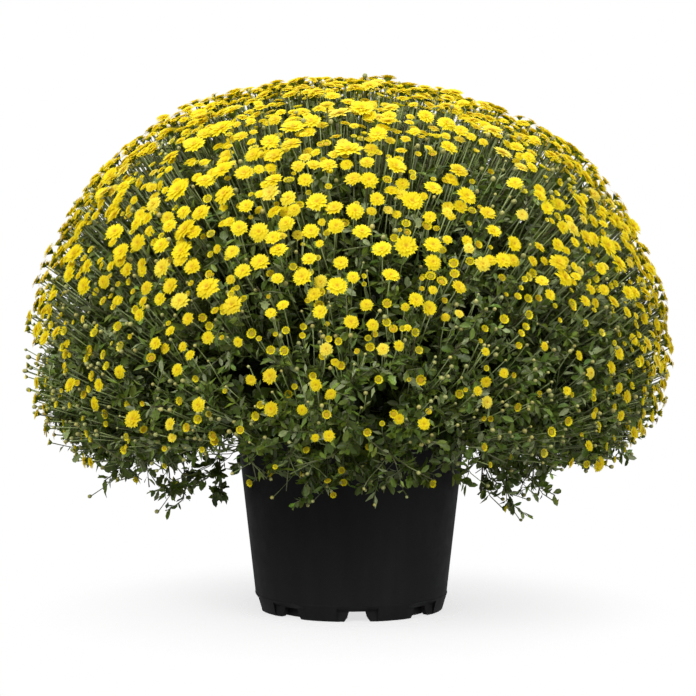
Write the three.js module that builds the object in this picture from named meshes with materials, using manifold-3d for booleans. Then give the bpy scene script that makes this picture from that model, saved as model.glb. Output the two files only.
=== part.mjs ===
// A garden chrysanthemum grown as one low dome of small flowers in a round nursery pot.
// Millimetres, +Z up. The origin is on the floor, in the middle of the pot's foot.
//
// The dome is measured from a pivot over the middle of the pot, by a polar angle (from straight
// up) and an azimuth. It is divided into sprays, which stand in tiers round that pivot. A spray is
// one piece: a stem from its hole in the potting mix, its shoots, a leafy layer under the
// flowers, and the leaves, stalks, flowers and buds that stand out of that layer.

import * as THREE from 'three';
import { mergeVertices } from 'three/addons/utils/BufferGeometryUtils.js';
import Module from 'manifold-3d';

const wasm = await Module();
wasm.setup();

// ---- Pot ----

const POT_HEIGHT = 240;
const POT_TOP_RADIUS = 147;
const POT_BASE_RADIUS = 122.5;
const POT_WALL = 2.2;
const POT_SIDES = 40;

const RIM_HEIGHT = 9;
const RIM_OUTSET = 3;
const RIM_SLOPE = 2;

const FOOT_HEIGHT = 21;
const FOOT_LEDGE = 0.8;
const FOOT_OUTER_RADIUS = 117.5;
const FOOT_INNER_RADIUS = 107;
const FOOT_DRAFT = 1;
const SKIRT_OUTER_RADIUS = 102.5;
const SKIRT_INNER_RADIUS = 100;
const FLOOR_THICKNESS = 3;
const FLOOR_CORNER_RADIUS = 110;
const FLOOR_CORNER_HEIGHT = 12;

const NOTCH_COUNT = 8;
const FIRST_NOTCH_DEG = -86.2;
const POCKET_WIDTH = 52;
const POCKET_HEIGHT = 12.8;
const POCKET_BACK_RADIUS = 114;
const NOTCH_TOP_WIDTH = 21;
const NOTCH_BOTTOM_WIDTH = 34;
const NOTCH_HEIGHT = 12.5;
const NOTCH_SPLAY = 2;
const NOTCH_SPLAY_SHARE = 0.4;
const DRAIN_WIDTH = 16;
const DRAIN_LENGTH = 13;
const DRAIN_OUTER_RADIUS = 97;

// How far a cutter reaches past what it cuts.
const CUT_MARGIN = 1;

// ---- Potting mix ----

const MIX_TOP = 220;
const STEM_HOLE_DEPTH = 55;
const STEM_HOLE_SIDES = 5;
const MIX_SIDES = 24;
const MIX_CLEARANCE = 1.2;
const MIX_EDGE_HEIGHT = 2;
const MIX_EDGE_WIDTH = 8;

// Gap between pieces that touch in the real object.
const FIT_GAP = 0.3;

// ---- Dome ----

const DOME_RADIUS = 410;
const DOME_TOP = 675;
const DOME_WIDEST_HEIGHT = 303;
const DOME_UNDERSIDE_DEPTH = 188;
const PIVOT_HEIGHT = 250;
const LOWEST_POLAR_DEG = 114;

// Each tier's sprays fill the polar angles between two limits, and stand in one ring of holes.
const TIERS = [
  { name: 'crown_spray', count: 1, fromDeg: 0, toDeg: 26, holeRing: 0, flowery: true },
  { name: 'upper_spray', count: 4, fromDeg: 26, toDeg: 53, holeRing: 42, flowery: true },
  { name: 'middle_spray', count: 6, fromDeg: 53, toDeg: 80, holeRing: 76, flowery: true },
  { name: 'lower_spray', count: 6, fromDeg: 80, toDeg: LOWEST_POLAR_DEG, holeRing: 108, flowery: false },
];
const TIER_TURN_DEG = 30;

// The leafy layer, as fractions of the distance from the pivot to the dome's surface.
const LAYER_INNER = 0.76;
const LAYER_ROOT = 0.79;
const LAYER_HOLLOW = 0.825;
const LAYER_TUFT = 0.91;
const LAYER_JITTER = 0.01;
const TUFT_SHARE = 0.5;
const LAYER_ROWS = 3;
const LAYER_COLUMN_DEG = 12;
const CROWN_SIDES = 12;
const LEAF_TIP_LIMIT = 0.94;
const SPRAY_GAP = 6;

// ---- Stems ----

const STEM_RADIUS = 5;
const STEM_TOP_RADIUS = 3.6;
const STEM_SIDES = 4;
const STEM_BENDS = 3;
const SHOOT_SIDES = 3;
const STEM_COLLAR = 6;
const SHOOT_RADIUS = 2.6;
const SHOOT_START = 0.5;
const SHOOT_SPREAD = 0.55;
const RIM_CLEARANCE = 60;
const STEM_LEAN = 1.1;

// ---- Flowers ----

const FLOWER_COUNT = 230;
const FLOWER_PETALS = 6;
const FLOWER_RADIUS_TOP = 30;
const FLOWER_RADIUS_LOW = 22;
const HALF_OPEN_RADIUS = 12;
const HALF_OPEN_SHARE_TOP = 0.1;
const HALF_OPEN_SHARE_LOW = 0.5;
const HEAD_SIZES = [0.85, 1.05];
const PETAL_NOTCH = 0.7;
const STALK_RADIUS = 1.7;
const STALK_SIDES = 3;

// Heights and depths of a head, as fractions of its radius.
const PETAL_RISE = 0.12;
const OPEN_TOP = 0.2;
const OPEN_NECK = 0.5;
const HALF_OPEN_TOP = 0.45;
const HALF_OPEN_NECK = 0.95;

// How heads are spread over the dome: thicker towards the top, and a little out of order.
const COVER_AT_TOP = 1.3;
const COVER_AT_BOTTOM = 0.8;
const COVER_STEPS = 240;
const COVER_END_DEG = 2;
const FLOWER_TILT_UP = 0.18;
const FLOWER_TILT_JITTER = 0.3;
const FLOWER_SHIFT = 12.5;
const FLOWER_HEIGHT_JITTER = 5;
const GOLDEN_ANGLE = Math.PI * (3 - Math.sqrt(5));

// ---- Leaves ----

const LEAVES_PER_SPRAY = 4;
const HANGING_LEAVES = 3;
const HANGING_BAND = 0.08;
const LEAF_LENGTH = 44;
const LEAF_WIDTH = 24;
const LEAF_THICKNESS = 0.9;
const LEAF_SIZES = [0.75, 1.1];
const LEAF_SPLAY = 0.75;
const HANGING_LEAF_SPLAY = 0.35;
const LEAF_BEND = 0.25;
const LEAF_SINK = 6;
const LEAF_TRIES = 60;

// Nearer to the pole than this polar angle, an azimuth says nothing.
const SMALLEST_POLAR = 0.1;

// Half widths of a leaf at each station along it, as fractions of its length and width.
const LEAF_STATIONS = [
  { along: 0, half: 0.1 },
  { along: 0.45, half: 0.5 },
  { along: 0.62, half: 0.27 },
];

const UP = new THREE.Vector3(0, 0, 1);
const PIVOT = new THREE.Vector3(0, 0, PIVOT_HEIGHT);

// ---- Helpers ----

// The same draws on every run, from zero to one.
function seededRandom(seed) {
  let state = seed;
  return () => {
    state = (state + 0x6d2b79f5) | 0;
    let mixed = Math.imul(state ^ (state >>> 15), 1 | state);
    mixed = (mixed + Math.imul(mixed ^ (mixed >>> 7), 61 | mixed)) ^ mixed;
    return ((mixed ^ (mixed >>> 14)) >>> 0) / 4294967296;
  };
}

function between(random, low, high) {
  return low + (high - low) * random();
}

function randomShift(random) {
  return new THREE.Vector3(between(random, -1, 1), between(random, -1, 1), between(random, -1, 1));
}

function toRadians(degrees) {
  return THREE.MathUtils.degToRad(degrees);
}

function toManifold(geometry) {
  const bare = geometry.index ? geometry.toNonIndexed() : geometry.clone();
  bare.deleteAttribute('normal');
  bare.deleteAttribute('uv');
  const merged = mergeVertices(bare, 1e-4);
  const mesh = new wasm.Mesh({
    numProp: 3,
    vertProperties: new Float32Array(merged.attributes.position.array),
    triVerts: new Uint32Array(merged.index.array),
  });
  return new wasm.Manifold(mesh);
}

function toGeometry(manifold) {
  const mesh = manifold.getMesh();
  const indexed = new THREE.BufferGeometry();
  indexed.setAttribute('position', new THREE.BufferAttribute(mesh.vertProperties, 3));
  indexed.setIndex(new THREE.BufferAttribute(mesh.triVerts, 1));
  const geometry = indexed.toNonIndexed();
  geometry.computeVertexNormals();
  return geometry;
}

// A closed solid from triangles, each three points listed anticlockwise from outside.
function solidFrom(triangles) {
  const positions = triangles.flat().flatMap((point) => point.toArray());
  const geometry = new THREE.BufferGeometry();
  geometry.setAttribute('position', new THREE.Float32BufferAttribute(positions, 3));
  return toManifold(geometry);
}

// A ring of points round a centre, anticlockwise about the axis. pointAt gives each point's
// distance from the centre and its height along the axis.
function ringOf(centre, axis, count, turn, pointAt) {
  const spare = Math.abs(axis.z) < 0.9 ? UP : new THREE.Vector3(1, 0, 0);
  const across = new THREE.Vector3().crossVectors(spare, axis).normalize();
  const along = new THREE.Vector3().crossVectors(axis, across);
  const points = [];
  for (let i = 0; i < count; i += 1) {
    const angle = turn + (2 * Math.PI * i) / count;
    const { radius, height } = pointAt(i);
    const point = centre.clone();
    point.addScaledVector(across, radius * Math.cos(angle));
    point.addScaledVector(along, radius * Math.sin(angle));
    point.addScaledVector(axis, height);
    points.push(point);
  }
  return points;
}

// Triangles between two rings, of which the upper has as many points or a multiple of them.
function bridge(upper, lower) {
  const share = upper.length / lower.length;
  const triangles = [];
  lower.forEach((low, j) => {
    for (let k = 0; k < share; k += 1) {
      const i = j * share + k;
      triangles.push([upper[i], low, upper[(i + 1) % upper.length]]);
    }
    const next = ((j + 1) * share) % upper.length;
    triangles.push([upper[next], low, lower[(j + 1) % lower.length]]);
  });
  return triangles;
}

function coverTop(ring, top) {
  return ring.map((point, i) => [point, ring[(i + 1) % ring.length], top]);
}

function coverBottom(ring) {
  const triangles = [];
  for (let i = 1; i < ring.length - 1; i += 1) {
    triangles.push([ring[0], ring[i + 1], ring[i]]);
  }
  return triangles;
}

function middleOf(points) {
  const sum = points.reduce((total, point) => total.add(point), new THREE.Vector3());
  return sum.divideScalar(points.length);
}

// A tapered stem with few sides along a list of points, from its foot to its tip.
function stemAlong(points, footRadius, tipRadius, sides) {
  const rings = points.map((point, i) => {
    const before = points[Math.max(0, i - 1)];
    const after = points[Math.min(points.length - 1, i + 1)];
    const axis = new THREE.Vector3().subVectors(after, before).normalize();
    const radius = THREE.MathUtils.lerp(footRadius, tipRadius, i / (points.length - 1));
    return ringOf(point, axis, sides, 0, () => ({ radius, height: 0 }));
  });
  const triangles = coverBottom(rings[0]);
  for (let i = 1; i < rings.length; i += 1) {
    triangles.push(...bridge(rings[i], rings[i - 1]));
  }
  const tip = rings[rings.length - 1];
  triangles.push(...coverTop(tip, middleOf(tip)));
  return solidFrom(triangles);
}

// ---- The dome's shape ----

function rootOfReach(sideways, upward, depth) {
  const rise = PIVOT_HEIGHT - DOME_WIDEST_HEIGHT;
  const a = (sideways / DOME_RADIUS) ** 2 + (upward / depth) ** 2;
  const b = (2 * rise * upward) / depth ** 2;
  const c = (rise / depth) ** 2 - 1;
  return (-b + Math.sqrt(b * b - 4 * a * c)) / (2 * a);
}

// The distance from the pivot to the dome's surface.
function domeReach(polar) {
  const sideways = Math.sin(polar);
  const upward = Math.cos(polar);
  const upper = rootOfReach(sideways, upward, DOME_TOP - DOME_WIDEST_HEIGHT);
  if (PIVOT_HEIGHT + upper * upward >= DOME_WIDEST_HEIGHT) {
    return upper;
  }
  return rootOfReach(sideways, upward, DOME_UNDERSIDE_DEPTH);
}

function domePoint(polar, azimuth, fraction) {
  const reach = domeReach(polar) * fraction;
  const point = new THREE.Vector3();
  point.x = reach * Math.sin(polar) * Math.cos(azimuth);
  point.y = reach * Math.sin(polar) * Math.sin(azimuth);
  point.z = PIVOT_HEIGHT + reach * Math.cos(polar);
  return point;
}

function domeNormal(point) {
  const rise = point.z - DOME_WIDEST_HEIGHT;
  const depth = rise >= 0 ? DOME_TOP - DOME_WIDEST_HEIGHT : DOME_UNDERSIDE_DEPTH;
  const normal = new THREE.Vector3(point.x / DOME_RADIUS ** 2, point.y / DOME_RADIUS ** 2, rise / depth ** 2);
  return normal.normalize();
}

function directionOf(point) {
  const offset = new THREE.Vector3().subVectors(point, PIVOT);
  const polar = Math.acos(offset.z / offset.length());
  const azimuth = Math.atan2(offset.y, offset.x);
  return { polar, azimuth };
}

// ---- Cells: the stretch of the dome that each spray fills ----

function makeCells() {
  const cells = [];
  TIERS.forEach((tier, t) => {
    for (let i = 0; i < tier.count; i += 1) {
      const number = String(i + 1).padStart(2, '0');
      cells.push({
        name: tier.count > 1 ? `${tier.name}_${number}` : tier.name,
        from: toRadians(tier.fromDeg),
        to: toRadians(tier.toDeg),
        middle: toRadians(TIER_TURN_DEG * t) + (2 * Math.PI * i) / tier.count,
        half: Math.PI / tier.count,
        holeRing: tier.holeRing,
        flowery: tier.flowery,
        whole: tier.count === 1,
        heads: [],
      });
    }
  });
  return cells;
}

function azimuthFromMiddle(cell, azimuth) {
  const turn = (azimuth - cell.middle) / (2 * Math.PI);
  return (turn - Math.round(turn)) * 2 * Math.PI;
}

// How far a margin in millimetres reaches round the layer at a polar angle, as an azimuth.
function azimuthMargin(polar, margin) {
  return margin / (LAYER_ROOT * domeReach(polar) * Math.sin(polar));
}

function polarMargin(polar, margin) {
  return margin / (LAYER_ROOT * domeReach(polar));
}

function polarLimits(cell, margin) {
  return {
    low: cell.whole ? 0 : cell.from + polarMargin(cell.from, margin),
    high: cell.to - polarMargin(cell.to, margin),
  };
}

function halfAzimuth(cell, polar, margin) {
  return cell.whole ? Math.PI : cell.half - azimuthMargin(polar, margin);
}

// Whether a leaf's point is inside the spray's own cell, under the flowers. What hangs from the
// lowest tier has nothing below it.
function isInside(cell, point, margin, hanging) {
  const { polar, azimuth } = directionOf(point);
  const { low, high } = polarLimits(cell, margin);
  const half = halfAzimuth(cell, polar, margin);
  const share = point.distanceTo(PIVOT) / domeReach(polar);
  const lowEnough = polar >= low && share <= LEAF_TIP_LIMIT;
  const highEnough = hanging || polar <= high;
  return lowEnough && highEnough && Math.abs(azimuthFromMiddle(cell, azimuth)) <= half;
}

// The direction nearest to the one asked for that keeps a margin from the cell's edge.
function clampedDirection(cell, polar, azimuth, margin) {
  const { low, high } = polarLimits(cell, margin);
  const kept = THREE.MathUtils.clamp(polar, low, high);
  const half = halfAzimuth(cell, Math.max(kept, SMALLEST_POLAR), margin);
  const turn = THREE.MathUtils.clamp(azimuthFromMiddle(cell, azimuth), -half, half);
  return { polar: kept, azimuth: cell.middle + turn };
}

// ---- Pot and potting mix ----

function potRadiusAt(height) {
  const share = (height - FOOT_HEIGHT) / (POT_HEIGHT - FOOT_HEIGHT);
  return THREE.MathUtils.lerp(POT_BASE_RADIUS, POT_TOP_RADIUS, share);
}

function turned(profile, sides) {
  const geometry = new THREE.LatheGeometry(profile, sides);
  geometry.rotateX(Math.PI / 2);
  geometry.rotateZ(toRadians(FIRST_NOTCH_DEG) + Math.PI / sides);
  return toManifold(geometry);
}

// The foot is a ring, with a thin skirt inside it.
function potProfile() {
  const rimBottom = POT_HEIGHT - RIM_HEIGHT;
  const cornerTop = FOOT_HEIGHT + FLOOR_THICKNESS + FLOOR_CORNER_HEIGHT;
  return [
    new THREE.Vector2(0, FOOT_HEIGHT),
    new THREE.Vector2(SKIRT_INNER_RADIUS, FOOT_HEIGHT),
    new THREE.Vector2(SKIRT_INNER_RADIUS, 0),
    new THREE.Vector2(SKIRT_OUTER_RADIUS, 0),
    new THREE.Vector2(SKIRT_OUTER_RADIUS, FOOT_HEIGHT),
    new THREE.Vector2(FOOT_INNER_RADIUS, FOOT_HEIGHT),
    new THREE.Vector2(FOOT_INNER_RADIUS + FOOT_DRAFT, 0),
    new THREE.Vector2(FOOT_OUTER_RADIUS, 0),
    new THREE.Vector2(POT_BASE_RADIUS + FOOT_LEDGE, FOOT_HEIGHT - FOOT_LEDGE),
    new THREE.Vector2(POT_BASE_RADIUS, FOOT_HEIGHT),
    new THREE.Vector2(potRadiusAt(rimBottom), rimBottom),
    new THREE.Vector2(POT_TOP_RADIUS + RIM_OUTSET, rimBottom + RIM_SLOPE),
    new THREE.Vector2(POT_TOP_RADIUS + RIM_OUTSET, POT_HEIGHT),
    new THREE.Vector2(POT_TOP_RADIUS - POT_WALL, POT_HEIGHT),
    new THREE.Vector2(potRadiusAt(cornerTop) - POT_WALL, cornerTop),
    new THREE.Vector2(FLOOR_CORNER_RADIUS, FOOT_HEIGHT + FLOOR_THICKNESS),
    new THREE.Vector2(0, FOOT_HEIGHT + FLOOR_THICKNESS),
  ];
}

// Extrudes an outline of radius (x) and height (y) sideways, centred, at one notch's azimuth.
function radialCutter(outline, width, azimuth) {
  const shape = new THREE.Shape(outline.map(([radius, height]) => new THREE.Vector2(radius, height)));
  const geometry = new THREE.ExtrudeGeometry(shape, { depth: width, bevelEnabled: false });
  geometry.translate(0, 0, -width / 2);
  geometry.rotateX(Math.PI / 2);
  geometry.rotateZ(azimuth);
  return toManifold(geometry);
}

// A recess in the foot, with a sloped top, that each notch opens into.
function pocketCutter(azimuth) {
  const beyond = POT_TOP_RADIUS;
  const outline = [
    [POT_BASE_RADIUS, FOOT_HEIGHT],
    [POCKET_BACK_RADIUS, POCKET_HEIGHT],
    [POCKET_BACK_RADIUS, -CUT_MARGIN],
    [beyond, -CUT_MARGIN],
    [beyond, FOOT_HEIGHT],
  ];
  return radialCutter(outline, POCKET_WIDTH, azimuth);
}

// A notch through the foot, wider at the bottom. An open one goes through the skirt too, and
// lets water out.
function notchCutter(azimuth, open) {
  const splayHeight = NOTCH_HEIGHT * NOTCH_SPLAY_SHARE;
  const shape = new THREE.Shape();
  shape.moveTo(-NOTCH_BOTTOM_WIDTH / 2, -CUT_MARGIN);
  shape.lineTo(NOTCH_BOTTOM_WIDTH / 2, -CUT_MARGIN);
  shape.lineTo(NOTCH_TOP_WIDTH / 2 + NOTCH_SPLAY, splayHeight);
  shape.lineTo(NOTCH_TOP_WIDTH / 2, NOTCH_HEIGHT);
  shape.lineTo(-NOTCH_TOP_WIDTH / 2, NOTCH_HEIGHT);
  shape.lineTo(-NOTCH_TOP_WIDTH / 2 - NOTCH_SPLAY, splayHeight);
  shape.closePath();
  const inner = open ? SKIRT_INNER_RADIUS - NOTCH_SPLAY : SKIRT_OUTER_RADIUS + NOTCH_SPLAY;
  const geometry = new THREE.ExtrudeGeometry(shape, { depth: POT_BASE_RADIUS - inner, bevelEnabled: false });
  geometry.rotateX(Math.PI / 2);
  geometry.rotateZ(Math.PI / 2);
  geometry.translate(inner, 0, 0);
  geometry.rotateZ(azimuth);
  return toManifold(geometry);
}

// A hole in the pot's floor, just inside a notch.
function drainCutter(azimuth) {
  const outline = [
    [DRAIN_OUTER_RADIUS - DRAIN_LENGTH, FOOT_HEIGHT - CUT_MARGIN],
    [DRAIN_OUTER_RADIUS, FOOT_HEIGHT - CUT_MARGIN],
    [DRAIN_OUTER_RADIUS, FOOT_HEIGHT + FLOOR_THICKNESS + CUT_MARGIN],
    [DRAIN_OUTER_RADIUS - DRAIN_LENGTH, FOOT_HEIGHT + FLOOR_THICKNESS + CUT_MARGIN],
  ];
  return radialCutter(outline, DRAIN_WIDTH, azimuth);
}

function makePot() {
  let pot = turned(potProfile(), POT_SIDES);
  for (let i = 0; i < NOTCH_COUNT; i += 1) {
    const azimuth = toRadians(FIRST_NOTCH_DEG) + (2 * Math.PI * i) / NOTCH_COUNT;
    pot = pot.subtract(pocketCutter(azimuth));
    pot = pot.subtract(notchCutter(azimuth, i % 2 === 0));
    pot = pot.subtract(drainCutter(azimuth));
  }
  return pot;
}

function stemFoot(cell) {
  const foot = new THREE.Vector3();
  foot.x = cell.holeRing * Math.cos(cell.middle);
  foot.y = cell.holeRing * Math.sin(cell.middle);
  foot.z = MIX_TOP - STEM_HOLE_DEPTH + FIT_GAP;
  return foot;
}

function makePottingMix(cells) {
  const floor = FOOT_HEIGHT + FLOOR_THICKNESS + FIT_GAP;
  const cornerTop = FOOT_HEIGHT + FLOOR_THICKNESS + FLOOR_CORNER_HEIGHT;
  const inset = POT_WALL + MIX_CLEARANCE;
  const wallSlope = (POT_TOP_RADIUS - potRadiusAt(cornerTop)) / (POT_HEIGHT - cornerTop);
  const topRadius = potRadiusAt(cornerTop) + wallSlope * (MIX_TOP - cornerTop);
  let mix = turned([
    new THREE.Vector2(0, floor),
    new THREE.Vector2(FLOOR_CORNER_RADIUS - MIX_CLEARANCE, floor),
    new THREE.Vector2(potRadiusAt(cornerTop) - inset, cornerTop + FIT_GAP),
    new THREE.Vector2(topRadius - inset, MIX_TOP - MIX_EDGE_HEIGHT),
    new THREE.Vector2(topRadius - inset - MIX_EDGE_WIDTH, MIX_TOP),
    new THREE.Vector2(0, MIX_TOP),
  ], MIX_SIDES);
  const holeRadius = (STEM_RADIUS + FIT_GAP) / Math.cos(Math.PI / STEM_HOLE_SIDES);
  cells.forEach((cell) => {
    const hole = new THREE.CylinderGeometry(holeRadius, holeRadius, 2 * STEM_HOLE_DEPTH, STEM_HOLE_SIDES);
    hole.rotateX(Math.PI / 2);
    hole.translate(stemFoot(cell).x, stemFoot(cell).y, MIX_TOP);
    mix = mix.subtract(toManifold(hole));
  });
  return mix;
}

// ---- Leafy layer, stems and leaves of a spray ----

// Tufts and hollows are scattered over the layer's outer side.
function layerOuter(random) {
  const height = random() < TUFT_SHARE ? LAYER_TUFT : LAYER_HOLLOW;
  return height + between(random, -LAYER_JITTER, LAYER_JITTER);
}

// The crown's layer is round, with the pole in its middle.
function crownLayer(cell, random) {
  const { high } = polarLimits(cell, SPRAY_GAP / 2);
  const sides = CROWN_SIDES;
  const ringAt = (polar, fractionAt) => {
    const points = [];
    for (let i = 0; i < sides; i += 1) {
      points.push(domePoint(polar, cell.middle + (2 * Math.PI * i) / sides, fractionAt(i)));
    }
    return points;
  };
  const innerRim = ringAt(high, () => LAYER_INNER);
  const innerBase = domePoint(0, 0, LAYER_INNER);
  const outerRim = ringAt(high, () => layerOuter(random));
  const outerRing = ringAt(high / 2, () => layerOuter(random));
  const outerTop = domePoint(0, 0, LAYER_TUFT);
  const underside = coverTop(innerRim, innerBase).map(([a, b, c]) => [b, a, c]);
  return solidFrom([
    ...underside,
    ...bridge(outerRim, innerRim),
    ...bridge(outerRing, outerRim),
    ...coverTop(outerRing, outerTop),
  ]);
}

// A side spray's layer is a curved band, lofted across its azimuths.
function bandLayer(cell, random) {
  const { low, high } = polarLimits(cell, SPRAY_GAP / 2);
  const polars = [];
  for (let row = 0; row <= LAYER_ROWS; row += 1) {
    polars.push(THREE.MathUtils.lerp(low, high, row / LAYER_ROWS));
  }
  const columns = Math.ceil(THREE.MathUtils.radToDeg(2 * cell.half) / LAYER_COLUMN_DEG);
  const loops = [];
  for (let i = 0; i <= columns; i += 1) {
    const side = (2 * i) / columns - 1;
    const at = (polar, fraction) => {
      const azimuth = cell.middle + side * halfAzimuth(cell, polar, SPRAY_GAP / 2);
      return domePoint(polar, azimuth, fraction);
    };
    const outer = polars.map((polar) => at(polar, layerOuter(random)));
    loops.push([...outer, at(high, LAYER_INNER), at(low, LAYER_INNER)]);
  }
  // Turned so that each loop starts in the middle of its outer side, for its end cover.
  const rings = loops.map((loop) => [...loop.slice(1), loop[0]]);
  const triangles = coverBottom(rings[0]);
  for (let i = 1; i < rings.length; i += 1) {
    triangles.push(...bridge(rings[i], rings[i - 1]));
  }
  triangles.push(...coverBottom(rings[rings.length - 1]).map(([a, b, c]) => [a, c, b]));
  return solidFrom(triangles);
}

// The stem stands straight in its hole, then bends out to the middle of its leafy layer.
function stemPath(cell) {
  const collar = stemFoot(cell).setZ(MIX_TOP + STEM_COLLAR);
  const polar = cell.whole ? 0 : (cell.from + cell.to) / 2;
  const tip = domePoint(polar, cell.middle, LAYER_ROOT);
  const bend = stemFoot(cell).multiplyScalar(STEM_LEAN).setZ(POT_HEIGHT + RIM_CLEARANCE);
  return new THREE.QuadraticBezierCurve3(collar, bend, tip);
}

function shootTips(cell) {
  if (cell.whole) {
    const polar = cell.to * SHOOT_SPREAD;
    const turns = [0, (2 * Math.PI) / 3, (4 * Math.PI) / 3];
    return turns.map((turn) => domePoint(polar, cell.middle + turn, LAYER_ROOT));
  }
  const polar = (cell.from + cell.to) / 2;
  const turn = cell.half * SHOOT_SPREAD;
  return [-turn, turn].map((offset) => domePoint(polar, cell.middle + offset, LAYER_ROOT));
}

function addStems(body, cell) {
  const path = stemPath(cell);
  const points = [stemFoot(cell), ...path.getPoints(STEM_BENDS)];
  let joined = body.add(stemAlong(points, STEM_RADIUS, STEM_TOP_RADIUS, STEM_SIDES));
  shootTips(cell).forEach((tip) => {
    const start = path.getPoint(SHOOT_START);
    joined = joined.add(stemAlong([start, tip], SHOOT_RADIUS, SHOOT_RADIUS, SHOOT_SIDES));
  });
  return joined;
}

// The corners of a leaf's face, as pairs at each station and one point at its tip.
function leafCorners(root, forward, across, size, droop) {
  const normal = new THREE.Vector3().crossVectors(across, forward);
  const at = (along, half) => {
    const point = root.clone();
    point.addScaledVector(forward, along * LEAF_LENGTH * size);
    point.addScaledVector(across, half * LEAF_WIDTH * size);
    point.addScaledVector(normal, droop * along * along * LEAF_LENGTH * size);
    return point;
  };
  const pairs = LEAF_STATIONS.map(({ along, half }) => [at(along, -half), at(along, half)]);
  return { pairs, tip: at(1, 0), normal };
}

function leafSolid({ pairs, tip, normal }) {
  const outline = [...pairs.map((pair) => pair[0]), tip, ...pairs.map((pair) => pair[1]).reverse()];
  const lift = normal.clone().multiplyScalar(LEAF_THICKNESS);
  const raised = new Map(outline.map((point) => [point, point.clone().add(lift)]));
  const face = [];
  for (let i = 1; i < pairs.length; i += 1) {
    const [left, right] = pairs[i - 1];
    const [nextLeft, nextRight] = pairs[i];
    face.push([left, nextLeft, right], [nextLeft, nextRight, right]);
  }
  const [lastLeft, lastRight] = pairs[pairs.length - 1];
  face.push([lastLeft, tip, lastRight]);
  const triangles = face.map(([a, b, c]) => [a, b, c]);
  triangles.push(...face.map(([a, b, c]) => [raised.get(a), raised.get(c), raised.get(b)]));
  outline.forEach((point, i) => {
    const next = outline[(i + 1) % outline.length];
    triangles.push([point, raised.get(point), next]);
    triangles.push([next, raised.get(point), raised.get(next)]);
  });
  return solidFrom(triangles);
}

// Tries places for leaves and keeps those that hold to the spray and stay inside its own cell.
function addLeaves(body, cell, random, count, hanging) {
  let joined = body;
  let placed = 0;
  for (let i = 0; i < LEAF_TRIES && placed < count; i += 1) {
    const { low, high } = polarLimits(cell, 2 * SPRAY_GAP);
    const polar = hanging ? high - between(random, 0, HANGING_BAND) : between(random, low, high);
    const half = halfAzimuth(cell, Math.max(polar, SMALLEST_POLAR), 2 * SPRAY_GAP);
    const azimuth = cell.middle + between(random, -half, half);
    const surface = domePoint(polar, azimuth, hanging ? LAYER_ROOT : LAYER_HOLLOW);
    const outward = hanging ? UP.clone().negate() : domeNormal(surface);
    const sideways = randomShift(random);
    const splay = hanging ? HANGING_LEAF_SPLAY : LEAF_SPLAY;
    const forward = outward.clone().addScaledVector(sideways, splay).normalize();
    const across = new THREE.Vector3().crossVectors(forward, sideways).normalize();
    const root = surface.clone().addScaledVector(outward, -LEAF_SINK);
    const size = between(random, ...LEAF_SIZES);
    const corners = leafCorners(root, forward, across, size, between(random, -LEAF_BEND, LEAF_BEND));
    const points = [...corners.pairs.flat(), corners.tip];
    const inside = points.every((point) => isInside(cell, point, SPRAY_GAP / 2, hanging));
    const grown = joined.add(leafSolid(corners));
    if (inside && grown.decompose().length === 1) {
      joined = grown;
      placed += 1;
    }
  }
  return joined;
}

// ---- Flowers and buds ----

// From the pivot, how much of the dome's flower cover lies above each polar angle.
function coverTable() {
  const lowest = toRadians(LOWEST_POLAR_DEG - COVER_END_DEG);
  const table = [{ polar: 0, cover: 0 }];
  let last = domePoint(0, 0, 1);
  let cover = 0;
  for (let i = 1; i <= COVER_STEPS; i += 1) {
    const polar = (lowest * i) / COVER_STEPS;
    const point = domePoint(polar, 0, 1);
    const density = THREE.MathUtils.lerp(COVER_AT_TOP, COVER_AT_BOTTOM, i / COVER_STEPS);
    cover += point.distanceTo(last) * (point.x + last.x) * density;
    table.push({ polar, cover });
    last = point;
  }
  return table.map((row) => ({ polar: row.polar, cover: row.cover / cover }));
}

function polarAtCover(table, cover) {
  const next = table.findIndex((row) => row.cover >= cover);
  const low = table[next - 1];
  const high = table[next];
  const share = (cover - low.cover) / (high.cover - low.cover);
  return THREE.MathUtils.lerp(low.polar, high.polar, share);
}

// One head's centre, facing, radius and kind. Heads follow a spiral, so that they stay apart.
function makeHead(index, table, random) {
  const cover = (index + 0.5) / FLOWER_COUNT;
  const polar = polarAtCover(table, cover);
  const azimuth = index * GOLDEN_ANGLE;
  const centre = domePoint(polar, azimuth, 1);
  const normal = domeNormal(centre);
  const shift = randomShift(random);
  const facing = normal.clone().addScaledVector(UP, FLOWER_TILT_UP).addScaledVector(shift, FLOWER_TILT_JITTER);
  centre.addScaledVector(shift, FLOWER_SHIFT);
  const settled = directionOf(centre);
  centre.copy(domePoint(settled.polar, settled.azimuth, 1));
  centre.addScaledVector(normal, between(random, -FLOWER_HEIGHT_JITTER, 0));
  const lowness = polar / toRadians(LOWEST_POLAR_DEG);
  const share = THREE.MathUtils.lerp(HALF_OPEN_SHARE_TOP, HALF_OPEN_SHARE_LOW, lowness ** 2);
  const halfOpen = random() < share;
  const flowerRadius = THREE.MathUtils.lerp(FLOWER_RADIUS_TOP, FLOWER_RADIUS_LOW, lowness);
  return {
    centre,
    facing: facing.normalize(),
    halfOpen,
    radius: (halfOpen ? HALF_OPEN_RADIUS : flowerRadius) * between(random, ...HEAD_SIZES),
    turn: between(random, 0, Math.PI),
  };
}

function makeHeads(random) {
  const table = coverTable();
  const heads = [];
  for (let i = 0; i < FLOWER_COUNT; i += 1) {
    heads.push(makeHead(i, table, random));
  }
  // A head is made smaller where it would come too near to another.
  heads.forEach((head) => {
    const others = heads.filter((other) => other !== head);
    const nearest = Math.min(...others.map((other) => other.centre.distanceTo(head.centre)));
    head.radius = Math.min(head.radius, nearest / 2 - FIT_GAP);
  });
  return heads;
}

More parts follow.
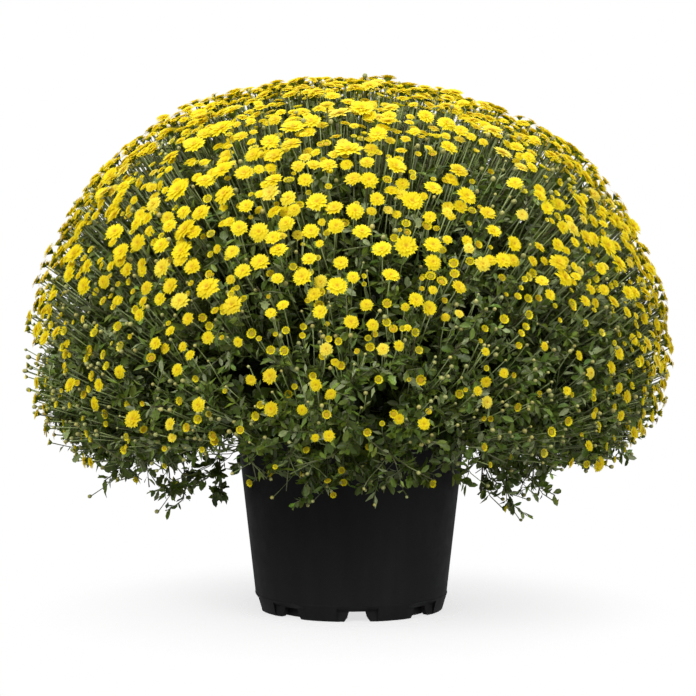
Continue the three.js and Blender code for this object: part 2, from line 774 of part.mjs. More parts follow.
// A flower or bud on its stalk, whose foot is sunk in the leafy layer.
function headSolid(head, foot) {
  const down = new THREE.Vector3().subVectors(foot, head.centre).normalize();
  const outlineCount = head.halfOpen ? 2 * STALK_SIDES : 2 * FLOWER_PETALS;
  const outline = ringOf(head.centre, head.facing, outlineCount, head.turn, (i) => {
    const tip = i % 2 === 0;
    const reach = head.halfOpen || tip ? 1 : PETAL_NOTCH;
    return { radius: head.radius * reach, height: tip ? 0 : head.radius * PETAL_RISE };
  });
  const topHeight = head.halfOpen ? HALF_OPEN_TOP : OPEN_TOP;
  const top = head.centre.clone().addScaledVector(head.facing, head.radius * topHeight);
  const neckDepth = head.halfOpen ? HALF_OPEN_NECK : OPEN_NECK;
  const neckCentre = head.centre.clone().addScaledVector(down, head.radius * neckDepth);
  const stalkRing = (centre) => ringOf(centre, down.clone().negate(), STALK_SIDES, head.turn, () => {
    return { radius: STALK_RADIUS, height: 0 };
  });
  const neck = nearestStart(stalkRing(neckCentre), outline[0]);
  const end = nearestStart(stalkRing(foot), neck[0]);
  return solidFrom([
    ...coverTop(outline, top),
    ...bridge(outline, neck),
    ...bridge(neck, end),
    ...coverBottom(end),
  ]);
}

// The same ring, started at its point nearest to another, so that a bridge doesn't twist.
function nearestStart(ring, target) {
  const distances = ring.map((point) => point.distanceTo(target));
  const start = distances.indexOf(Math.min(...distances));
  return [...ring.slice(start), ...ring.slice(0, start)];
}

function addHeads(body, cell) {
  let joined = body;
  cell.heads.forEach((head) => {
    const { polar, azimuth } = directionOf(head.centre);
    const rooted = clampedDirection(cell, polar, azimuth, 2 * SPRAY_GAP);
    const foot = domePoint(rooted.polar, rooted.azimuth, LAYER_ROOT);
    joined = joined.add(headSolid(head, foot));
  });
  return joined;
}

function makeSpray(cell, random) {
  let spray = cell.whole ? crownLayer(cell, random) : bandLayer(cell, random);
  spray = addStems(spray, cell);
  spray = addHeads(spray, cell);
  spray = addLeaves(spray, cell, random, LEAVES_PER_SPRAY, false);
  if (!cell.flowery) {
    spray = addLeaves(spray, cell, random, HANGING_LEAVES, true);
  }
  return spray;
}

// ---- The object ----

const potPlastic = () => new THREE.MeshStandardMaterial({ color: 0x1b1b1c, roughness: 0.42, metalness: 0 });
const pottingMix = () => new THREE.MeshStandardMaterial({ color: 0x2a1e14, roughness: 0.95, metalness: 0 });
const flowers = () => new THREE.MeshStandardMaterial({ color: 0xf2d512, roughness: 0.6, metalness: 0 });
const foliage = () => new THREE.MeshStandardMaterial({ color: 0x3a4a1c, roughness: 0.65, metalness: 0 });

function addPiece(group, name, manifold, material) {
  const mesh = new THREE.Mesh(toGeometry(manifold), material);
  mesh.name = name;
  group.add(mesh);
}

function cellOf(cells, head) {
  const { polar, azimuth } = directionOf(head.centre);
  const tier = cells.filter((cell) => polar >= cell.from && polar < cell.to);
  return tier.find((cell) => Math.abs(azimuthFromMiddle(cell, azimuth)) <= cell.half);
}

function makeChrysanthemum() {
  const random = seededRandom(20);
  const group = new THREE.Group();
  const cells = makeCells();
  makeHeads(random).forEach((head) => cellOf(cells, head).heads.push(head));
  addPiece(group, 'pot', makePot(), potPlastic());
  addPiece(group, 'potting_mix', makePottingMix(cells), pottingMix());
  cells.forEach((cell) => {
    addPiece(group, cell.name, makeSpray(cell, random), cell.flowery ? flowers() : foliage());
  });
  return group;
}

const group = makeChrysanthemum();

export default group;
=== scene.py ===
"""A garden chrysanthemum in flower in a round nursery pot, dressed over its frame.

The plant is grown by rule. Flower heads are scattered over a dome, thicker towards the top.
Branches run from the stems in the potting mix to the heads, with shoots, leaves, stalks and
buds on the way. Every draw is seeded, so each run gives the same plant.
"""

import math

import bmesh
import bpy
import numpy as np
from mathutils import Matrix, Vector


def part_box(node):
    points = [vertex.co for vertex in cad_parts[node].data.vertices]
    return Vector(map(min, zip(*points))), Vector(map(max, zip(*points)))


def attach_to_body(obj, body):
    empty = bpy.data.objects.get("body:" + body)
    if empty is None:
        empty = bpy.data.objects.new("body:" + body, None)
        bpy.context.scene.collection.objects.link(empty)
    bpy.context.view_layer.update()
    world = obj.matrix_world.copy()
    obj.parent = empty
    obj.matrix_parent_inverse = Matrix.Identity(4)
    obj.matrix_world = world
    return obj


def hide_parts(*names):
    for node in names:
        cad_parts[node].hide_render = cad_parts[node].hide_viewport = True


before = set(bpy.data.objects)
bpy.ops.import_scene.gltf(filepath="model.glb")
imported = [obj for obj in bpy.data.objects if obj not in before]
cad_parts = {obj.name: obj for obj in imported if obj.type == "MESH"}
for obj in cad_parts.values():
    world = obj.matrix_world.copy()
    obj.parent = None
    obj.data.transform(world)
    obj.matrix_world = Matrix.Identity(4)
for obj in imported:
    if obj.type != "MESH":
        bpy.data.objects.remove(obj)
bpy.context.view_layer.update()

bl_info = {
    "name": "Pot chrysanthemum",
    "version": (1, 0, 0),
    "blender": (4, 5, 0),
    "location": "3D View > Sidebar > Chrysanthemum",
    "description": "Builds a garden chrysanthemum in flower: pot, potting mix, sprays and stage",
    "category": "Add Mesh",
}

BODY = "root"
MM = 0.001

MIX_LOW, MIX_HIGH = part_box("potting_mix")

# ---- Pot, in millimetres ----

POT_HEIGHT = 240.0
POT_TOP_RADIUS = 147.0
POT_BASE_RADIUS = 122.5
POT_WALL = 2.2
RIM_HEIGHT = 9.0
RIM_OUTSET = 3.0
RIM_SLOPE = 2.0
FOOT_HEIGHT = 21.0
FOOT_LEDGE = 0.8
FOOT_OUTER_RADIUS = 117.5
FOOT_INNER_RADIUS = 107.0
FOOT_DRAFT = 1.0
SKIRT_OUTER_RADIUS = 102.5
SKIRT_INNER_RADIUS = 100.0
FLOOR_THICKNESS = 3.0
FLOOR_CORNER_RADIUS = 110.0
FLOOR_CORNER_HEIGHT = 12.0
NOTCH_COUNT = 8
FIRST_NOTCH_DEG = -86.2
POCKET_WIDTH = 52.0
POCKET_HEIGHT = 12.8
POCKET_BACK_RADIUS = 114.0
NOTCH_TOP_WIDTH = 21.0
NOTCH_BOTTOM_WIDTH = 34.0
NOTCH_HEIGHT = 12.5
NOTCH_SPLAY = 2.0
NOTCH_SPLAY_SHARE = 0.4
DRAIN_WIDTH = 16.0
DRAIN_LENGTH = 13.0
DRAIN_OUTER_RADIUS = 97.0
CUT_MARGIN = 1.0
POT_SEGMENTS = 128

# ---- Sprays: the stretch of the dome that each fills, as in the frame ----

PIVOT = np.array([-0.0035, 0.0, 0.25])
UP = np.array([0.0, 0.0, 1.0])
LEVEL = np.array([1.0, 1.0, 0.0])
TIERS = (
    ("crown_spray", 1, 0.0, 26.0, 0.0),
    ("upper_spray", 4, 26.0, 53.0, 0.042),
    ("middle_spray", 6, 53.0, 80.0, 0.076),
    ("lower_spray", 6, 80.0, 180.0, 0.108),
)
TIER_TURN_DEG = 30.0

# The dome's outline, as the flowers' heights and their distances from the axis.
DOME_OUTLINE = (
    (0.676, 0.0), (0.673, 0.065), (0.6585, 0.133), (0.6435, 0.182), (0.619, 0.236),
    (0.594, 0.273), (0.570, 0.302), (0.545, 0.325), (0.495, 0.358), (0.445, 0.383),
    (0.395, 0.401), (0.344, 0.410), (0.305, 0.410), (0.268, 0.403), (0.240, 0.388),
    (0.216, 0.368), (0.197, 0.346), (0.182, 0.314), (0.168, 0.262), (0.156, 0.200),
    (0.146, 0.100),
)
OUTLINE_STEPS = 300
OUTLINE_SMOOTHING = 15
AREA_STEPS = 400

# Head kinds.
FULL, HALF_OPEN, BUD = 0, 1, 2
KINDS = (FULL, HALF_OPEN, BUD)

# Heads to each square decimetre of the dome, by the polar angle in degrees from straight up.
DENSITY_POLAR = (0, 30, 48, 56, 62, 68, 76, 86, 96, 102, 114)
DENSITY = {
    FULL: (54, 50, 41, 30, 18, 9.0, 4.0, 2.0, 0.5, 0.0, 0.0),
    HALF_OPEN: (15, 16, 19, 20, 19, 15, 10, 7, 4, 1.5, 0.5),
    BUD: (7, 8, 9, 10, 12, 14, 17, 18, 13, 5, 2.0),
}

# Each kind's radius, how much it varies, and how far below the dome's surface it may stand.
HEAD_RADIUS = {FULL: 0.0093, HALF_OPEN: 0.0051, BUD: 0.0026}
HEAD_SPREAD = {FULL: 0.32, HALF_OPEN: 0.4, BUD: 0.35}
HEAD_DEPTH = {FULL: 0.018, HALF_OPEN: 0.03, BUD: 0.03}
HEAD_RISE = 0.004

# Heads are smaller low down: two polar angles in degrees, and the sizes there.
LOW_HEAD_SIZE = ((60, 85), (1.0, 0.9))

# Clumps of flowers: how strong and how wide the waves that make them are, how many waves there
# are, and what keeps the number of flowers much the same.
CLUMPS = ((1.0, 0.11), (0.6, 0.05))
CLUMP_WAVES = 24
CLUMP_BALANCE = 0.4

# How many places are tried for each head where heads are densest, and the least distance between
# heads, as a share of their radii together.
PLACES_PER_HEAD = 2.4
HEAD_GAP = 0.6
SHUFFLE = 0.9
SQUARE_DECIMETRES = 100

# Over how many degrees below the lowest leaves the heads thin out, and how far.
FADE_DEG = 4
FADE_MOST = 0.9

# How much the heads' facings vary, and how far those under the dome still face down.
FACING_SPREAD = 0.15
UNDERSIDE_FACING = 0.25

# Stretches with fewer or more open flowers: azimuth and polar angle, their widths, all in
# degrees, and how many times as many.
PATCHES = (
    (-50, 45, 30, 20, 0.38),
    (-62, 72, 40, 8, 0.7),
    (-122, 48, 30, 13, 1.35),
    (-13, 74, 24, 13, 5.2),
    (-180, 66, 34, 12, 1.3),
    (-10, 91, 21, 11, 5.5),
    (-172, 89, 21, 9, 3.8),
)

# The flowers that stand out from the front, listed one by one: how many pixels across and down
# the camera's view each is, and its radius there.
FRONT_FLOWERS = (
    (194, 144, 9.5), (222, 128, 10), (231, 112, 9), (170, 157, 8), (201, 117, 8), (222, 170, 9),
    (205, 180, 8.5), (178, 190, 11), (224, 194, 10), (153, 204, 8), (110, 176, 7.5), (105, 192, 7),
    (123, 170, 7), (114, 215, 7), (115, 232, 9), (136, 223, 6), (138, 243, 8.5), (161, 245, 8.5),
    (169, 225, 7), (185, 229, 9.5), (200, 212, 9), (259, 232, 11), (239, 228, 9), (246, 206, 7.5),
    (253, 155, 8), (244, 173, 9), (273, 180, 8), (270, 193, 9.5), (270, 142, 9), (274, 156, 9),
    (311, 121, 8.5), (362, 108, 9.5), (339, 113, 8.5), (293, 127, 9.5), (388, 121, 8), (426, 116, 8),
    (447, 123, 8.5), (378, 134, 9), (348, 149, 11), (291, 144, 8), (449, 147, 7.5), (298, 166, 7),
    (328, 165, 8), (367, 162, 7), (396, 166, 9.5), (305, 180, 8), (353, 179, 8), (369, 180, 9.5),
    (459, 170, 8), (288, 198, 8.5), (317, 202, 10.5), (334, 208, 8.5), (355, 211, 9.5), (377, 199, 8),
    (412, 201, 11), (433, 188, 8), (467, 196, 9.5), (336, 226, 9), (286, 223, 8.5), (311, 231, 8.5),
    (362, 231, 9), (488, 213, 7.5), (273, 238, 8), (447, 212, 5.5), (430, 217, 7), (461, 131, 7),
    (492, 130, 8.5), (503, 153, 8), (517, 147, 6.5), (529, 157, 6.5), (515, 183, 7.5), (540, 196, 6),
    (547, 208, 7), (522, 215, 6.5), (563, 227, 6.5), (573, 228, 7), (558, 245, 7), (587, 238, 7),
    (580, 202, 8), (586, 177, 8), (494, 231, 7), (514, 244, 8), (309, 259, 7.5), (341, 263, 8),
    (337, 286, 10.5), (353, 277, 7), (382, 249, 9.5), (406, 246, 12), (433, 262, 9), (433, 245, 9),
    (469, 248, 6), (483, 264, 8.5), (503, 260, 8.5), (533, 261, 5), (391, 275, 8), (416, 300, 8),
    (433, 290, 5), (459, 287, 7), (302, 277, 10), (320, 312, 8), (351, 322, 8), (373, 325, 7),
    (326, 349, 7.5), (383, 349, 7), (399, 346, 6), (316, 385, 7), (331, 394, 6), (478, 391, 5),
    (486, 382, 6), (504, 373, 5.5), (121, 252, 8.5), (181, 251, 10), (180, 260, 7.5), (162, 268, 9),
    (192, 267, 8.5), (84, 286, 8), (74, 254, 9), (87, 266, 6), (146, 288, 7), (170, 286, 8),
    (180, 301, 9.5), (160, 299, 6.5), (188, 319, 6.5), (139, 315, 6), (42, 299, 6.5), (56, 332, 5),
    (119, 372, 6.5), (70, 385, 6.5), (99, 385, 6), (177, 370, 6.5), (232, 252, 7.5), (278, 249, 8.5),
    (260, 262, 9.5), (243, 271, 8.5), (207, 287, 12), (277, 278, 6.5), (232, 305, 10.5), (271, 313, 6),
    (283, 305, 6), (208, 338, 7), (238, 342, 5.5), (270, 376, 8.5), (251, 380, 6), (559, 262, 9),
    (565, 277, 8.5), (542, 281, 6.5), (550, 295, 6), (576, 276, 5), (601, 269, 6), (608, 246, 9),
    (619, 263, 8), (604, 290, 6), (628, 293, 6.5), (648, 344, 6), (655, 300, 7), (619, 353, 6),
    (591, 373, 5.5), (545, 346, 4.5), (94, 404, 5.5), (133, 419, 9), (198, 405, 8), (170, 424, 6),
    (172, 438, 5), (271, 409, 8), (302, 410, 6), (329, 436, 6.5), (399, 419, 6), (424, 424, 7),
    (487, 402, 6.5), (567, 391, 5), (619, 388, 5), (589, 446, 5), (571, 463, 4.5), (91, 463, 4.5),
)
VIEW_PIXELS = 696
SENSOR_WIDTH = 36.0

# How those radii are scaled, the stretch of each line of sight that is searched for the dome, before
# and past the axis, and its steps. The front flowers turn a little to the viewer and stand out a
# little. Those that are seen aslant are wider, down to this share of a full view.
FRONT_SCALE = 0.94
SIGHT_STRETCH = (0.5, 0.3)
SIGHT_STEP = 0.001
FRONT_TURN = 0.03
FRONT_LIFT = 0.006
LEAST_VIEW = 0.45

# Where the dome faces the camera, the other open flowers are fewer and smaller than where it
# turns away: how far it faces, and how many times as many and as wide they are.
FRONT_FACING = (-0.3, -0.1, 0.15, 0.45)
FRONT_CROWD = (1.2, 1.75, 1.75, 0.41)
FRONT_SIZE = (1.0, 1.06, 1.06, 0.8)

# How far the stalks rise besides running outwards, by the polar angle in degrees.
STALK_RISE = ((0, 40, 60, 78, 92, 106), (0.0, 0.2, 0.5, 0.6, 0.35, -0.1))

# How far out the leaves and the branch tips reach, as shares of the way to the dome's surface.
REACH_POLAR = (0, 45, 60, 75, 120)
LEAF_LIMIT = (0.988, 0.978, 0.975, 0.985, 0.985)
TIP_REACH = (0.955, 0.935, 0.94, 0.957, 0.92)

# How far the heads lean up to the light, at the same polar angles.
LEAN = (0.0, 0.06, 0.12, 0.2, 0.1)

# The lowest polar angle of the leaves, at the front and elsewhere, and how soon it falls off
# between them. A few sprays hang lower.
LOWEST_FRONT_DEG = 92.0
LOWEST_DEG = 102.5
FRONT_FALLOFF = 1.2

# Nearer to the top than these polar angles, the dome leans to one side.
CROWN_DEG = (28.0, 36.0)


def linear(red, green, blue):
    """A screen colour, from 0 to 255 a channel, as the linear colour that shaders take."""
    screen = np.array([red, green, blue]) / 255
    curved = np.where(screen <= 0.04045, screen / 12.92, ((screen + 0.055) / 1.055) ** 2.4)
    return tuple(float(channel) for channel in curved)


# ---- Settings ----


def colour_setting(name, description, red, green, blue):
    """A colour that a user may change, with a screen colour as its default."""
    return bpy.props.FloatVectorProperty(
        name=name,
        description=description,
        subtype="COLOR",
        size=3,
        min=0,
        max=1,
        default=linear(red, green, blue),
    )


def number_setting(name, description, default, **limits):
    """A number that a user may change."""
    return bpy.props.FloatProperty(name=name, description=description, default=default, **limits)


def length_setting(name, description, default, **limits):
    """A length that a user may change, in metres."""
    return number_setting(name, description, default, unit="LENGTH", **limits)


class PotSettings(bpy.types.PropertyGroup):
    """What a user may change about the pot and the potting mix."""

    plastic: colour_setting("Plastic", "Colour of the pot's moulded plastic", 25, 25, 26)
    mix_dark: colour_setting("Peat", "Colour of the darkest grains of the potting mix", 44, 31, 22)
    mix_light: colour_setting("Bark", "Colour of the palest bark chips in the potting mix", 112, 80, 54)
    chips: bpy.props.IntProperty(
        name="Bark chips",
        description="How many bark chips lie on the potting mix",
        default=420,
        min=0,
        max=3000,
    )


class PlantSettings(bpy.types.PropertyGroup):
    """What a user may change about the plant."""

    seed: bpy.props.IntProperty(
        name="Seed", description="Picks another plant of the same form", default=11
    )
    wide: number_setting("Width", "Makes the dome wider or narrower", 1.0, min=0.8, max=1.05)
    tall: number_setting("Height", "Makes the dome taller or lower", 1.0, min=0.9, max=1.03)
    branches: bpy.props.IntProperty(
        name="Branches", description="How many branches carry the heads", default=500, min=50, max=900
    )
    clumping: number_setting("Clumping", "How unevenly the heads are scattered", 0.5, min=0, max=2)
    crown_shift: length_setting("Crown shift", "How far the top of the dome leans to the left", 0.012)
    lean: number_setting("Lean", "How far the flowers turn up to the light", 1.0, min=0, max=3)
    petal: colour_setting("Petals", "Main colour of the petals", 250, 232, 12)
    petal_gold: colour_setting("Older petals", "Colour of the oldest petals", 236, 212, 18)
    # Pale petal tips and young petals, partly painted highlight.
    petal_pale_highlight: colour_setting("Pale petals", "Colour of the palest petal tips", 255, 240, 120)
    eye: colour_setting("Flower centre", "Colour of the middle of each flower", 220, 168, 12)
    young_eye: colour_setting("Cup centre", "Colour of the middle of each half-open flower", 160, 152, 20)
    leaf: colour_setting("Leaves", "Main colour of the leaves", 93, 112, 36)
    # Leaves deep inside the plant: older, and darkened further with painted shade.
    leaf_shaded_inside: colour_setting("Inner leaves", "Colour of the old leaves inside the plant", 44, 56, 20)
    stalk: colour_setting("Stalks", "Colour of the flower stalks", 122, 134, 82)
    stem: colour_setting("Stems", "Colour of the woody stems", 84, 74, 48)
    # Paler leaf backs, which also stand in for painted glints on the outer leaves.
    leaf_back_and_glint: colour_setting("Leaf backs", "Colour of the backs of leaves", 172, 180, 138)
    bud: colour_setting("Buds", "Colour of the closed buds", 186, 190, 118)


class StageSettings(bpy.types.PropertyGroup):
    """What a user may change about the camera, the lights and the floor."""

    distance: length_setting("Camera distance", "From the camera to the pot's axis", 4.0, min=1)
    height: length_setting("Camera height", "Height of the camera over the floor", 0.66, min=0)
    aim: length_setting("Aim height", "Height on the axis that the camera looks at", 0.3331)
    sideways: length_setting("Camera sideways", "How far the camera stands to the right", -0.004)
    lens: number_setting("Lens", "Focal length in millimetres", 162.9, min=20)
    key: number_setting("Key light", "Power in watts", 150.0, min=0)
    fill: number_setting("Fill light", "Power in watts", 70.0, min=0)
    overhead: number_setting("Overhead light", "Power in watts", 90.0, min=0)
    surround: number_setting("Surround", "Strength of the light from all round", 0.35, min=0)


# ---- Vectors ----

# How closely the waves of a pattern lie, as times the usual.
WAVE_SPREAD = (0.6, 1.6)


def unit(vectors):
    """The same vectors, one metre long."""
    return vectors / np.maximum(np.linalg.norm(vectors, axis=-1, keepdims=True), 1e-12)


def blended(low, high, share):
    """Part way from low to high, with the share's shape spread over the last axis."""
    return low + (high - low) * np.asarray(share)[..., None]


def rising_from(values, start, over):
    """0 up to a start, and then rising to 1 over a stretch."""
    return np.clip((values - start) / over, 0, 1)


def repeated(values, count):
    """The same row of values, several times."""
    return np.asarray(values)[None] * np.ones((count, 1))


def turn_to(forward, upward):
    """Turns whose X axis is forward and whose Z axis is as near upward as it can be."""
    x_axis = unit(forward)
    y_axis = unit(np.cross(upward, x_axis))
    z_axis = np.cross(x_axis, y_axis)
    return np.stack([x_axis, y_axis, z_axis], axis=-1)


def turn_about(facing, roll):
    """Turns whose Z axis is facing, rolled about it by an angle."""
    spare = np.where(np.abs(facing[:, 2:]) < 0.9, [[0.0, 0.0, 1.0]], [[1.0, 0.0, 0.0]])
    across = unit(np.cross(spare, facing))
    along = np.cross(facing, across)
    cos, sin = np.cos(roll)[:, None], np.sin(roll)[:, None]
    return np.stack([across * cos + along * sin, along * cos - across * sin, facing], axis=-1)


def random_waves(rng, count, length):
    """A smooth pattern of about -2 to 2 in space, whose patches are about one length across."""
    directions = unit(rng.normal(size=(count, 3))) * (2 * np.pi / length)
    directions *= rng.uniform(*WAVE_SPREAD, size=(count, 1))
    phases = rng.uniform(0, 2 * np.pi, count)
    return lambda points: np.sin(points @ directions.T + phases).sum(axis=-1) / math.sqrt(count / 2)


def curve_points(controls, times):
    """Points on cubic curves. controls is (curves, 4, 3) and times is (curves, steps)."""
    t = times[..., None]
    a, b, c, d = (controls[:, None, i] for i in range(4))
    return a * (1 - t) ** 3 + 3 * b * t * (1 - t) ** 2 + 3 * c * t**2 * (1 - t) + d * t**3


def curve_headings(controls, times):
    """The directions of cubic curves, at the same times."""
    t = times[..., None]
    a, b, c, d = (controls[:, None, i] for i in range(4))
    return unit((b - a) * (1 - t) ** 2 + 2 * (c - b) * t * (1 - t) + (d - c) * t**2)


# ---- Small meshes ----


class Shape:
    """A small mesh: its corners, its triangles, and a mark from 0 to 1 on each corner."""

    def __init__(self, points, faces, marks):
        self.points = np.asarray(points, float)
        self.faces = np.asarray(faces, int)
        self.marks = np.asarray(marks, float)


def joined(shapes):
    """One shape of several."""
    starts = np.cumsum([0] + [len(shape.points) for shape in shapes[:-1]])
    return Shape(
        np.concatenate([shape.points for shape in shapes]),
        np.concatenate([shape.faces + start for shape, start in zip(shapes, starts)]),
        np.concatenate([shape.marks for shape in shapes]),
    )


class Heap:
    """Many copies of small shapes, gathered into one mesh."""

    def __init__(self):
        self.points, self.faces, self.shades, self.marks = [], [], [], []
        self.count = 0

    def add(self, points, faces, shades, marks):
        """points is (copies, corners, 3), and so are shades; marks is (corners,) or (copies, corners)."""
        copies, corners = points.shape[:2]
        if copies == 0:
            return
        starts = self.count + corners * np.arange(copies)
        self.points.append(points.reshape(-1, 3))
        self.faces.append((faces[None] + starts[:, None, None]).reshape(-1, 3))
        self.shades.append(np.broadcast_to(shades, points.shape).reshape(-1, 3))
        self.marks.append(np.broadcast_to(marks, (copies, corners)).ravel())
        self.count += copies * corners

    def add_shape(self, shape, centres, turns, shades):
        """Copies of a shape, each at a centre with its turn, which also scales it."""
        points = centres[:, None] + np.einsum("nij,kj->nki", turns, shape.points)
        self.add(points, shape.faces, shades, shape.marks)

    def build(self, name, material):
        """The mesh object, in the scene."""
        points = np.concatenate(self.points)
        faces = np.concatenate(self.faces)
        mesh = bpy.data.meshes.new(name)
        mesh.vertices.add(len(points))
        mesh.vertices.foreach_set("co", points.ravel())
        mesh.loops.add(faces.size)
        mesh.loops.foreach_set("vertex_index", faces.ravel())
        mesh.polygons.add(len(faces))
        mesh.polygons.foreach_set("loop_start", np.arange(0, faces.size, 3))
        mesh.polygons.foreach_set("use_smooth", np.ones(len(faces), bool))
        shade = mesh.attributes.new("shade", "FLOAT_COLOR", "POINT")
        colours = np.column_stack([np.concatenate(self.shades), np.ones(len(points))])
        shade.data.foreach_set("color", colours.ravel())
        mark = mesh.attributes.new("mark", "FLOAT", "POINT")
        mark.data.foreach_set("value", np.concatenate(self.marks))
        mesh.update(calc_edges=True)
        mesh.materials.append(material)
        return link(bpy.data.objects.new(name, mesh))


def link(made):
    """Puts an object in the scene."""
    bpy.context.scene.collection.objects.link(made)
    return made


def turned_faces(rings, sides, first, poles):
    """Faces of a solid turned about the Z axis, side by side, from one pole to the other.

    Its rings of corners are listed one after another, from the first corner's number on.
    """
    faces = []
    for side in range(sides):
        after = (side + 1) % sides
        faces.append((poles[0], first + after, first + side))
        for near in range(first, first + (rings - 1) * sides, sides):
            far = near + sides
            faces.append((near + side, near + after, far + after, far + side))
        last = first + (rings - 1) * sides
        faces.append((last + side, last + after, poles[1]))
    return faces


def triangles(faces):
    """The same faces, each split into triangles that share its first corner."""
    return [(face[0], *face[i : i + 2]) for face in faces for i in range(1, len(face) - 1)]


def tube_faces(steps, sides):
    """Triangles of a tube whose corners are listed ring by ring, with its far end closed."""
    faces = []
    for step in range(steps - 1):
        for side in range(sides):
            near, far = step * sides, (step + 1) * sides
            after = (side + 1) % sides
            faces.append((near + side, near + after, far + after))
            faces.append((near + side, far + after, far + side))
    last = (steps - 1) * sides
    for side in range(1, sides - 1):
        faces.append((last, last + side, last + side + 1))
    return np.array(faces)


def tube_points(path, radii, sides):
    """Rings of corners round paths. path is (tubes, steps, 3) and radii is (tubes, steps)."""
    headings = unit(np.gradient(path, axis=1))
    chord = unit(path[:, -1] - path[:, 0])
    spare = np.where(np.abs(chord[:, 2:]) < 0.8, [[0.0, 0.0, 1.0]], [[1.0, 0.0, 0.0]])
    across = unit(np.cross(headings, spare[:, None]))
    along = np.cross(headings, across)
    angles = 2 * np.pi * np.arange(sides) / sides
    rim = across[:, :, None] * np.cos(angles)[:, None] + along[:, :, None] * np.sin(angles)[:, None]
    rings = path[:, :, None] + rim * radii[:, :, None, None]
    return rings.reshape(len(path), -1, 3)


def add_tubes(heap, path, radii, sides, shades):
    """Adds stems or stalks along paths, in one colour each."""
    points = tube_points(path, radii, sides)
    heap.add(points, tube_faces(path.shape[1], sides), shades[:, None], np.ones(points.shape[1]))


# ---- Petals, buds and leaves, each one metre in its main size ----

# Where along a petal its edges bend in to its tip, its width at its root and at that bend, as
# shares of its greatest width, and how many small steps its path is added up in.
PETAL_BEND = 0.78
PETAL_WIDTHS = (0.5, 0.915)
PETAL_STEPS = 80
PETAL_FACES = ((0, 2, 3), (0, 3, 1), (2, 4, 3))

# Whorls of petals: how many there are, their height over the flower's middle, and how much their
# lengths vary. Then each petal's root, length and width, its climb in degrees, how much less steeply
# a long one climbs, how far it bends, and its marks at its root and at its tip.
OUTER_PETALS = (23, 0, 0.12, 0.1, 0.92, 0.31, 56, 50, -14, (0.3, 0.95))
MIDDLE_PETALS = (14, 0.05, 0.18, 0.08, 0.64, 0.28, 66, 50, -14, (0.25, 0.8))
INNER_PETALS = (7, 0.09, 0.1, 0.05, 0.34, 0.26, 32, 0, -22, (0.08, 0.5))
CUP_PETALS = (13, -0.4, 0.05, 0.34, 0.86, 0.5, 46, 0, 0, (0.35, 0.85))
PETAL_TURN = 0.26

# How the petals of whole flowers differ from those of others, in degrees.
DROOP_DEG = (-6, 6)
FLARE_DEG = (-30, 10)

# Middles of flowers: radius, rise, height of the rim, sides, and marks at the top and the rim.
EYE = (0.14, 0.05, 0.1, 6, (0, 0.12))
YOUNG_EYE = (0.52, 0.1, -0.21, 7, (0.0, 0.15))

# A bud's rings and sides, its height as times its width, and how much wider its top is.
BUD_SHAPE = (4, 6, 1.12)
BUD_SWELL = 0.12

# The cups under the heads: radius at the rim, and whether they bulge on the way to it. Then their
# radius at the stalk, the radius and depth of the bulge and the depth of the rim, as shares of those
# of the whole cup, their sides and their mark.
CALYX_RIMS = {FULL: (0.5, False), HALF_OPEN: (0.68, True)}
CALYX_FOOT = 0.09
CALYX_BULGE = (0.8, 0.6)
CALYX_LIP = 0.12
CALYX_SIDES = 5
CALYX_MARK = 0.6

# Where each kind of head sits on its stalk, as shares of its radius below its middle.
HEAD_BASE = {FULL: 0.5, HALF_OPEN: 0.85, BUD: 0.9}


def petal(root, length, width, lift_deg, curl_deg, tones):
    """A petal along X from its root, its upper side up, which climbs by lift and bends by curl.

    The tones are its marks at its root and at its tip.
    """
    climb = np.radians(lift_deg + curl_deg * np.linspace(0, 1, PETAL_STEPS + 1)[1:])
    run, rise = (
        np.concatenate([[0], np.cumsum(part(climb) / PETAL_STEPS)]) * length for part in (np.cos, np.sin)
    )
    points, marks = [], []
    for time, wide in zip((0, PETAL_BEND), PETAL_WIDTHS):
        step = round(time * PETAL_STEPS)
        for side in (-0.5, 0.5):
            points.append((root + run[step], side * wide * width, rise[step]))
            marks.append(tones[0] + (tones[1] - tones[0]) * time)
    points.append((root + run[-1], 0, rise[-1]))
    return Shape(points, PETAL_FACES, marks + [tones[1]])


def whorl(rng, petals, droop=0, flare=0):
    """A ring of petals about the Z axis, each a little different."""
    count, height, spread, root, length, width, lift, less, curl, tones = petals
    shapes = []
    start = rng.uniform(0, 2 * np.pi)
    for index in range(count):
        long = 1 + rng.uniform(-spread, spread)
        shape = petal(root, length * long, width, lift + droop - less * long, curl + flare, tones)
        angle = start + 2 * np.pi * (index + rng.uniform(-PETAL_TURN, PETAL_TURN)) / count
        cos, sin = math.cos(angle), math.sin(angle)
        x, y, z = shape.points.T
        shape.points = np.column_stack([x * cos - y * sin, x * sin + y * cos, z + height])
        shapes.append(shape)
    return joined(shapes)


def cap(radius, rise, height, sides, tones):
    """A low cone, open below, for the middle of a flower."""
    angles = 2 * np.pi * np.arange(sides) / sides
    rim = np.column_stack([radius * np.cos(angles), radius * np.sin(angles), np.full(sides, height)])
    points = np.vstack([rim, [[0, 0, height + rise]]])
    faces = [(i, (i + 1) % sides, sides) for i in range(sides)]
    return Shape(points, faces, [tones[1]] * sides + [tones[0]])


def full_flower(rng):
    """An open flower of radius one, its petals in three whorls. Marks run from the eye outwards."""
    droop = rng.uniform(*DROOP_DEG)
    outer = whorl(rng, OUTER_PETALS, droop)
    middle = whorl(rng, MIDDLE_PETALS, droop)
    inner = whorl(rng, INNER_PETALS)
    return joined([outer, middle, inner, cap(*EYE)])


def half_open_flower(rng):
    """A flower that is still a cup of radius one, round a low green and yellow middle."""
    flare = rng.uniform(*FLARE_DEG)
    outer = whorl(rng, CUP_PETALS, flare=flare)
    return joined([outer, cap(*YOUNG_EYE)])


